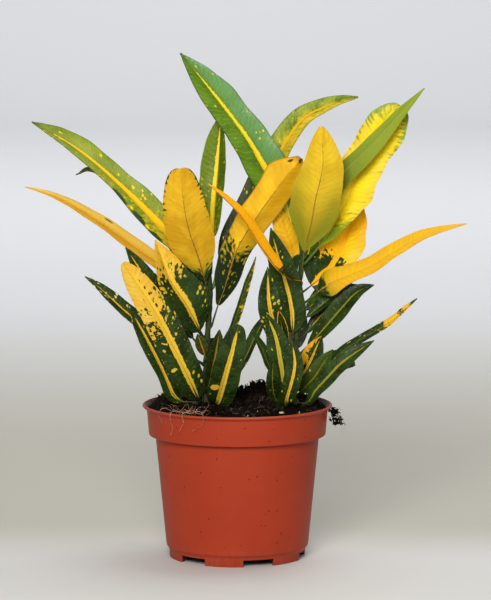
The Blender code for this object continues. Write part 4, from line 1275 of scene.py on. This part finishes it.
def add_perlite(surface):
    """The pale grain at its own place, and smaller ones strewn over the peat."""
    low, high = (Vector(corner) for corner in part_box("perlite"))
    models = [lump(f"grain_{number}", 2, 9.0 + number, 0.5) for number in range(3)]
    chance = random.Random(5)
    places = [(0, (low + high) / 2, [side * 0.95 for side in (high - low) / 2], Euler((0, 0, 0)))]
    for x, y, size in GRAINS:
        hit = drop(surface, x * MM, y * MM)[0]
        sides = random_sides(chance, size, 0.8, 1.2)
        places.append(placed(chance, 3, hit + Vector((0, 0, 0.5 * size * MM)), sides))
    grains = scattered("croton_perlite", models, places)
    grains.data.materials.append(fibre_material("perlite_grain", PERLITE_SHADE, PERLITE_WHITE, 0.85))
    discard(models)
    smooth(grains, 60.0)
    finish_piece(grains, frame_slot("perlite"), "perlite")


# ---------------------------------------------------------------- roots and stems

def centre_line(node_name):
    """The middle of a strand, from its highest end to its lowest."""
    shape = merged_shape(node_name)
    lowest = min(shape.verts, key=lambda corner: corner.co.z)
    line = [middle(ring) for ring in rings_from([lowest])]
    shape.free()
    return line[::-1]


def root_line(number, node_name):
    """A root's middle line, swayed a little, as (point, radius) pairs."""
    line = centre_line(node_name)
    marks = marks_along(line)
    swayed = []
    for share in (k / 48 for k in range(49)):
        point = between(line, marks, share)
        sway = [noise.noise(point * 420 + Vector((number, axis, 0))) for axis in range(3)]
        swayed.append((point + Vector([0.35 * MM * part for part in sway]), (0.24 - 0.13 * share) * MM))
    return swayed


def add_roots():
    chance = random.Random(31)
    material = fibre_material("fine_root", ROOT_BROWN, ROOT_PINK, 0.55)
    for number in range(4):
        node_name = f"root_0{number + 1}"
        lines = [root_line(number, node_name)]
        for _ in range(6):
            start = lines[0][chance.randrange(0, 14)][0]
            way = random_way(chance, (-1, 1), (-0.2, 0.6), (0.0, 0.6))
            length, thickness = chance.uniform(5, 11), chance.uniform(0.07, 0.13)
            lines.append(fibre(chance, start, way, length, thickness, 0.5, 0.45))
        root = strands("croton_" + node_name, lines, 1)
        root.data.materials.append(material)
        smooth(root, 60.0)
        finish_piece(root, frame_slot(node_name), node_name)


def stem_rings(node_name):
    """A stem's middles and radii from its foot up."""
    shape = merged_shape(node_name)
    corners = sorted((corner.co.copy() for corner in shape.verts), key=lambda place: place.z)
    shape.free()
    starts = range(0, len(corners) - STEM_SIDES + 1, STEM_SIDES)
    rings = [corners[first:first + STEM_SIDES] for first in starts]
    centres = [middle(ring) for ring in rings]
    radii = [sum((corner - centre).length for corner in ring) / STEM_SIDES
             for centre, ring in zip(centres, rings)]
    return centres, radii


def stem_material(name):
    material, tree, shader = new_material(name, 0.6)
    shader.inputs["Specular IOR Level"].default_value = 0.15
    place = own_place(tree)
    height = parts_of(tree, place)[2]
    drawn = node(tree, "ShaderNodeMapping", {"Vector": place, "Scale": (1.0, 1.0, 0.25)}).outputs[0]
    streaks = cloud(tree, drawn, 900.0, 3.0, 0.6, 2.0)
    warts = cloud(tree, place, 700.0, 2.0, 0.5, 5.0)
    skin = blend(tree, step(tree, height, 0.10, 0.18), STEM_BROWN, STEM_GREEN)
    skin = blend(tree, step(tree, streaks, 0.45, 0.65, 0.0, 0.7), skin, STEM_DARK)
    skin = blend(tree, step(tree, warts, 0.66, 0.72, 0.0, 0.6), skin, STEM_PALE)
    paint(tree, shader, skin)
    bump(tree, shader, calc(tree, "ADD", streaks, warts), 0.25 * MM)
    return material


def add_stem(side, leaf_heights):
    """A stem with a swelling where each leaf leaves it and a folded bud at its tip."""
    centres, radii = stem_rings(f"{side}_stem")
    marks = marks_along(centres)
    line = []
    for k in range(97):
        share = k / 96
        point = between(centres, marks, share)
        swell = sum(math.exp(-((point.z - height) / (1.3 * MM)) ** 2) for height in leaf_heights)
        radius = between(radii, marks, share) * (0.93 + 0.14 * min(1.0, swell))
        line.append((point, radius))
    top = centres[-1]
    bud = [(top + Vector((0.3 * k, 0.1 * k, 1.3 * k)) * MM, (1.35 - 0.2 * k) * MM) for k in range(6)]
    stem = strands(f"croton_{side}_stem", [line, bud], 4)
    stem.data.materials.append(stem_material(f"{side}_bark"))
    smooth(stem, 60.0)
    finish_piece(stem, frame_slot(f"{side}_stem"), f"{side}_stem")


def add_stems():
    for side in ("left", "right"):
        tree = surface_tree(frame["nodes"][f"{side}_stem"])
        leaves = [node_name for node_name in LOOKS if node_name.startswith(side)]
        add_stem(side, [leaf_rings(node_name, tree)[0][0].z for node_name in leaves])


# ---------------------------------------------------------------- studio

def add_camera():
    tilt = math.radians(90 - CAMERA_DIP)
    bpy.ops.object.camera_add(location=CAMERA_PLACE, rotation=(tilt, 0, 0))
    camera = bpy.context.object
    camera.name = "studio_camera"
    camera.data.lens = CAMERA_LENS
    camera.data.sensor_width = 36
    bpy.context.scene.camera = camera


def add_softbox(name, place, target, size, power, tint):
    bpy.ops.object.light_add(type="AREA", location=place)
    lamp = bpy.context.object
    lamp.name = name
    lamp.rotation_euler = (Vector(target) - Vector(place)).to_track_quat("-Z", "Y").to_euler()
    lamp.data.shape = "RECTANGLE"
    lamp.data.size, lamp.data.size_y = size
    lamp.data.energy = power
    lamp.data.color = tint


def add_lights():
    world = bpy.data.worlds.new("studio_air")
    bpy.context.scene.world = world
    world.use_nodes = True
    air = world.node_tree.nodes["Background"]
    air.inputs["Color"].default_value = AIR_COLOUR
    air.inputs["Strength"].default_value = AIR_STRENGTH
    for softbox in SOFTBOXES:
        add_softbox(*softbox)


def paper_material():
    material, tree, shader = new_material("pale_paper", 0.7)
    place = own_place(tree)
    grain = cloud(tree, place, 3.0, 2.0, 0.5, 1.0)
    depth = parts_of(tree, place)[1]
    paper = blend(tree, grain, PAPER_FRONT, tuple(0.97 * part for part in PAPER_FRONT))
    # Painted shade: the floor darkens from just before the pot to behind it, standing in for the shadow round
    # the pot and the dimmer far floor.
    paper = blend(tree, step(tree, depth, -0.03, 0.12), paper, PAPER_PAINTED_SHADE)
    paint(tree, shader, blend(tree, step(tree, depth, 0.40, 1.40), paper, PAPER_BACK))
    return material


def add_backdrop():
    """A paper sweep: floor, wide curve and wall in one sheet."""
    bpy.ops.mesh.primitive_plane_add(size=1, location=(0, 1.5, 0))
    sweep = bpy.context.object
    sweep.name = "paper_sweep"
    only(sweep)
    bpy.ops.object.mode_set(mode="EDIT")
    bpy.ops.transform.resize(value=(8.0, 5.4, 1.0), center_override=(0, 1.5, 0))
    bpy.ops.object.mode_set(mode="OBJECT")
    bpy.ops.object.transform_apply(location=True)
    back = max(corner.co.y for corner in sweep.data.vertices)
    for corner in sweep.data.vertices:
        corner.select = abs(corner.co.y - back) < 1e-4
    for edge in sweep.data.edges:
        edge.select = all(sweep.data.vertices[k].select for k in edge.vertices)
    for face in sweep.data.polygons:
        face.select = False
    bpy.ops.object.mode_set(mode="EDIT")
    bpy.ops.mesh.select_mode(type="EDGE")
    bpy.ops.mesh.extrude_region_move(TRANSFORM_OT_translate={"value": (0, 0, 2.6)})
    bpy.ops.object.mode_set(mode="OBJECT")
    apply_modifier(sweep, "BEVEL", width=0.5, segments=16, limit_method="ANGLE")
    smooth(sweep, 60.0)
    sweep.data.materials.append(paper_material())


add_camera()
add_lights()
add_backdrop()
add_pot()
surface = add_peat()
add_perlite(surface)
add_rim_crumb()
add_roots()
add_stems()
add_leaves()
bpy.context.scene.view_settings.view_transform = "Standard"
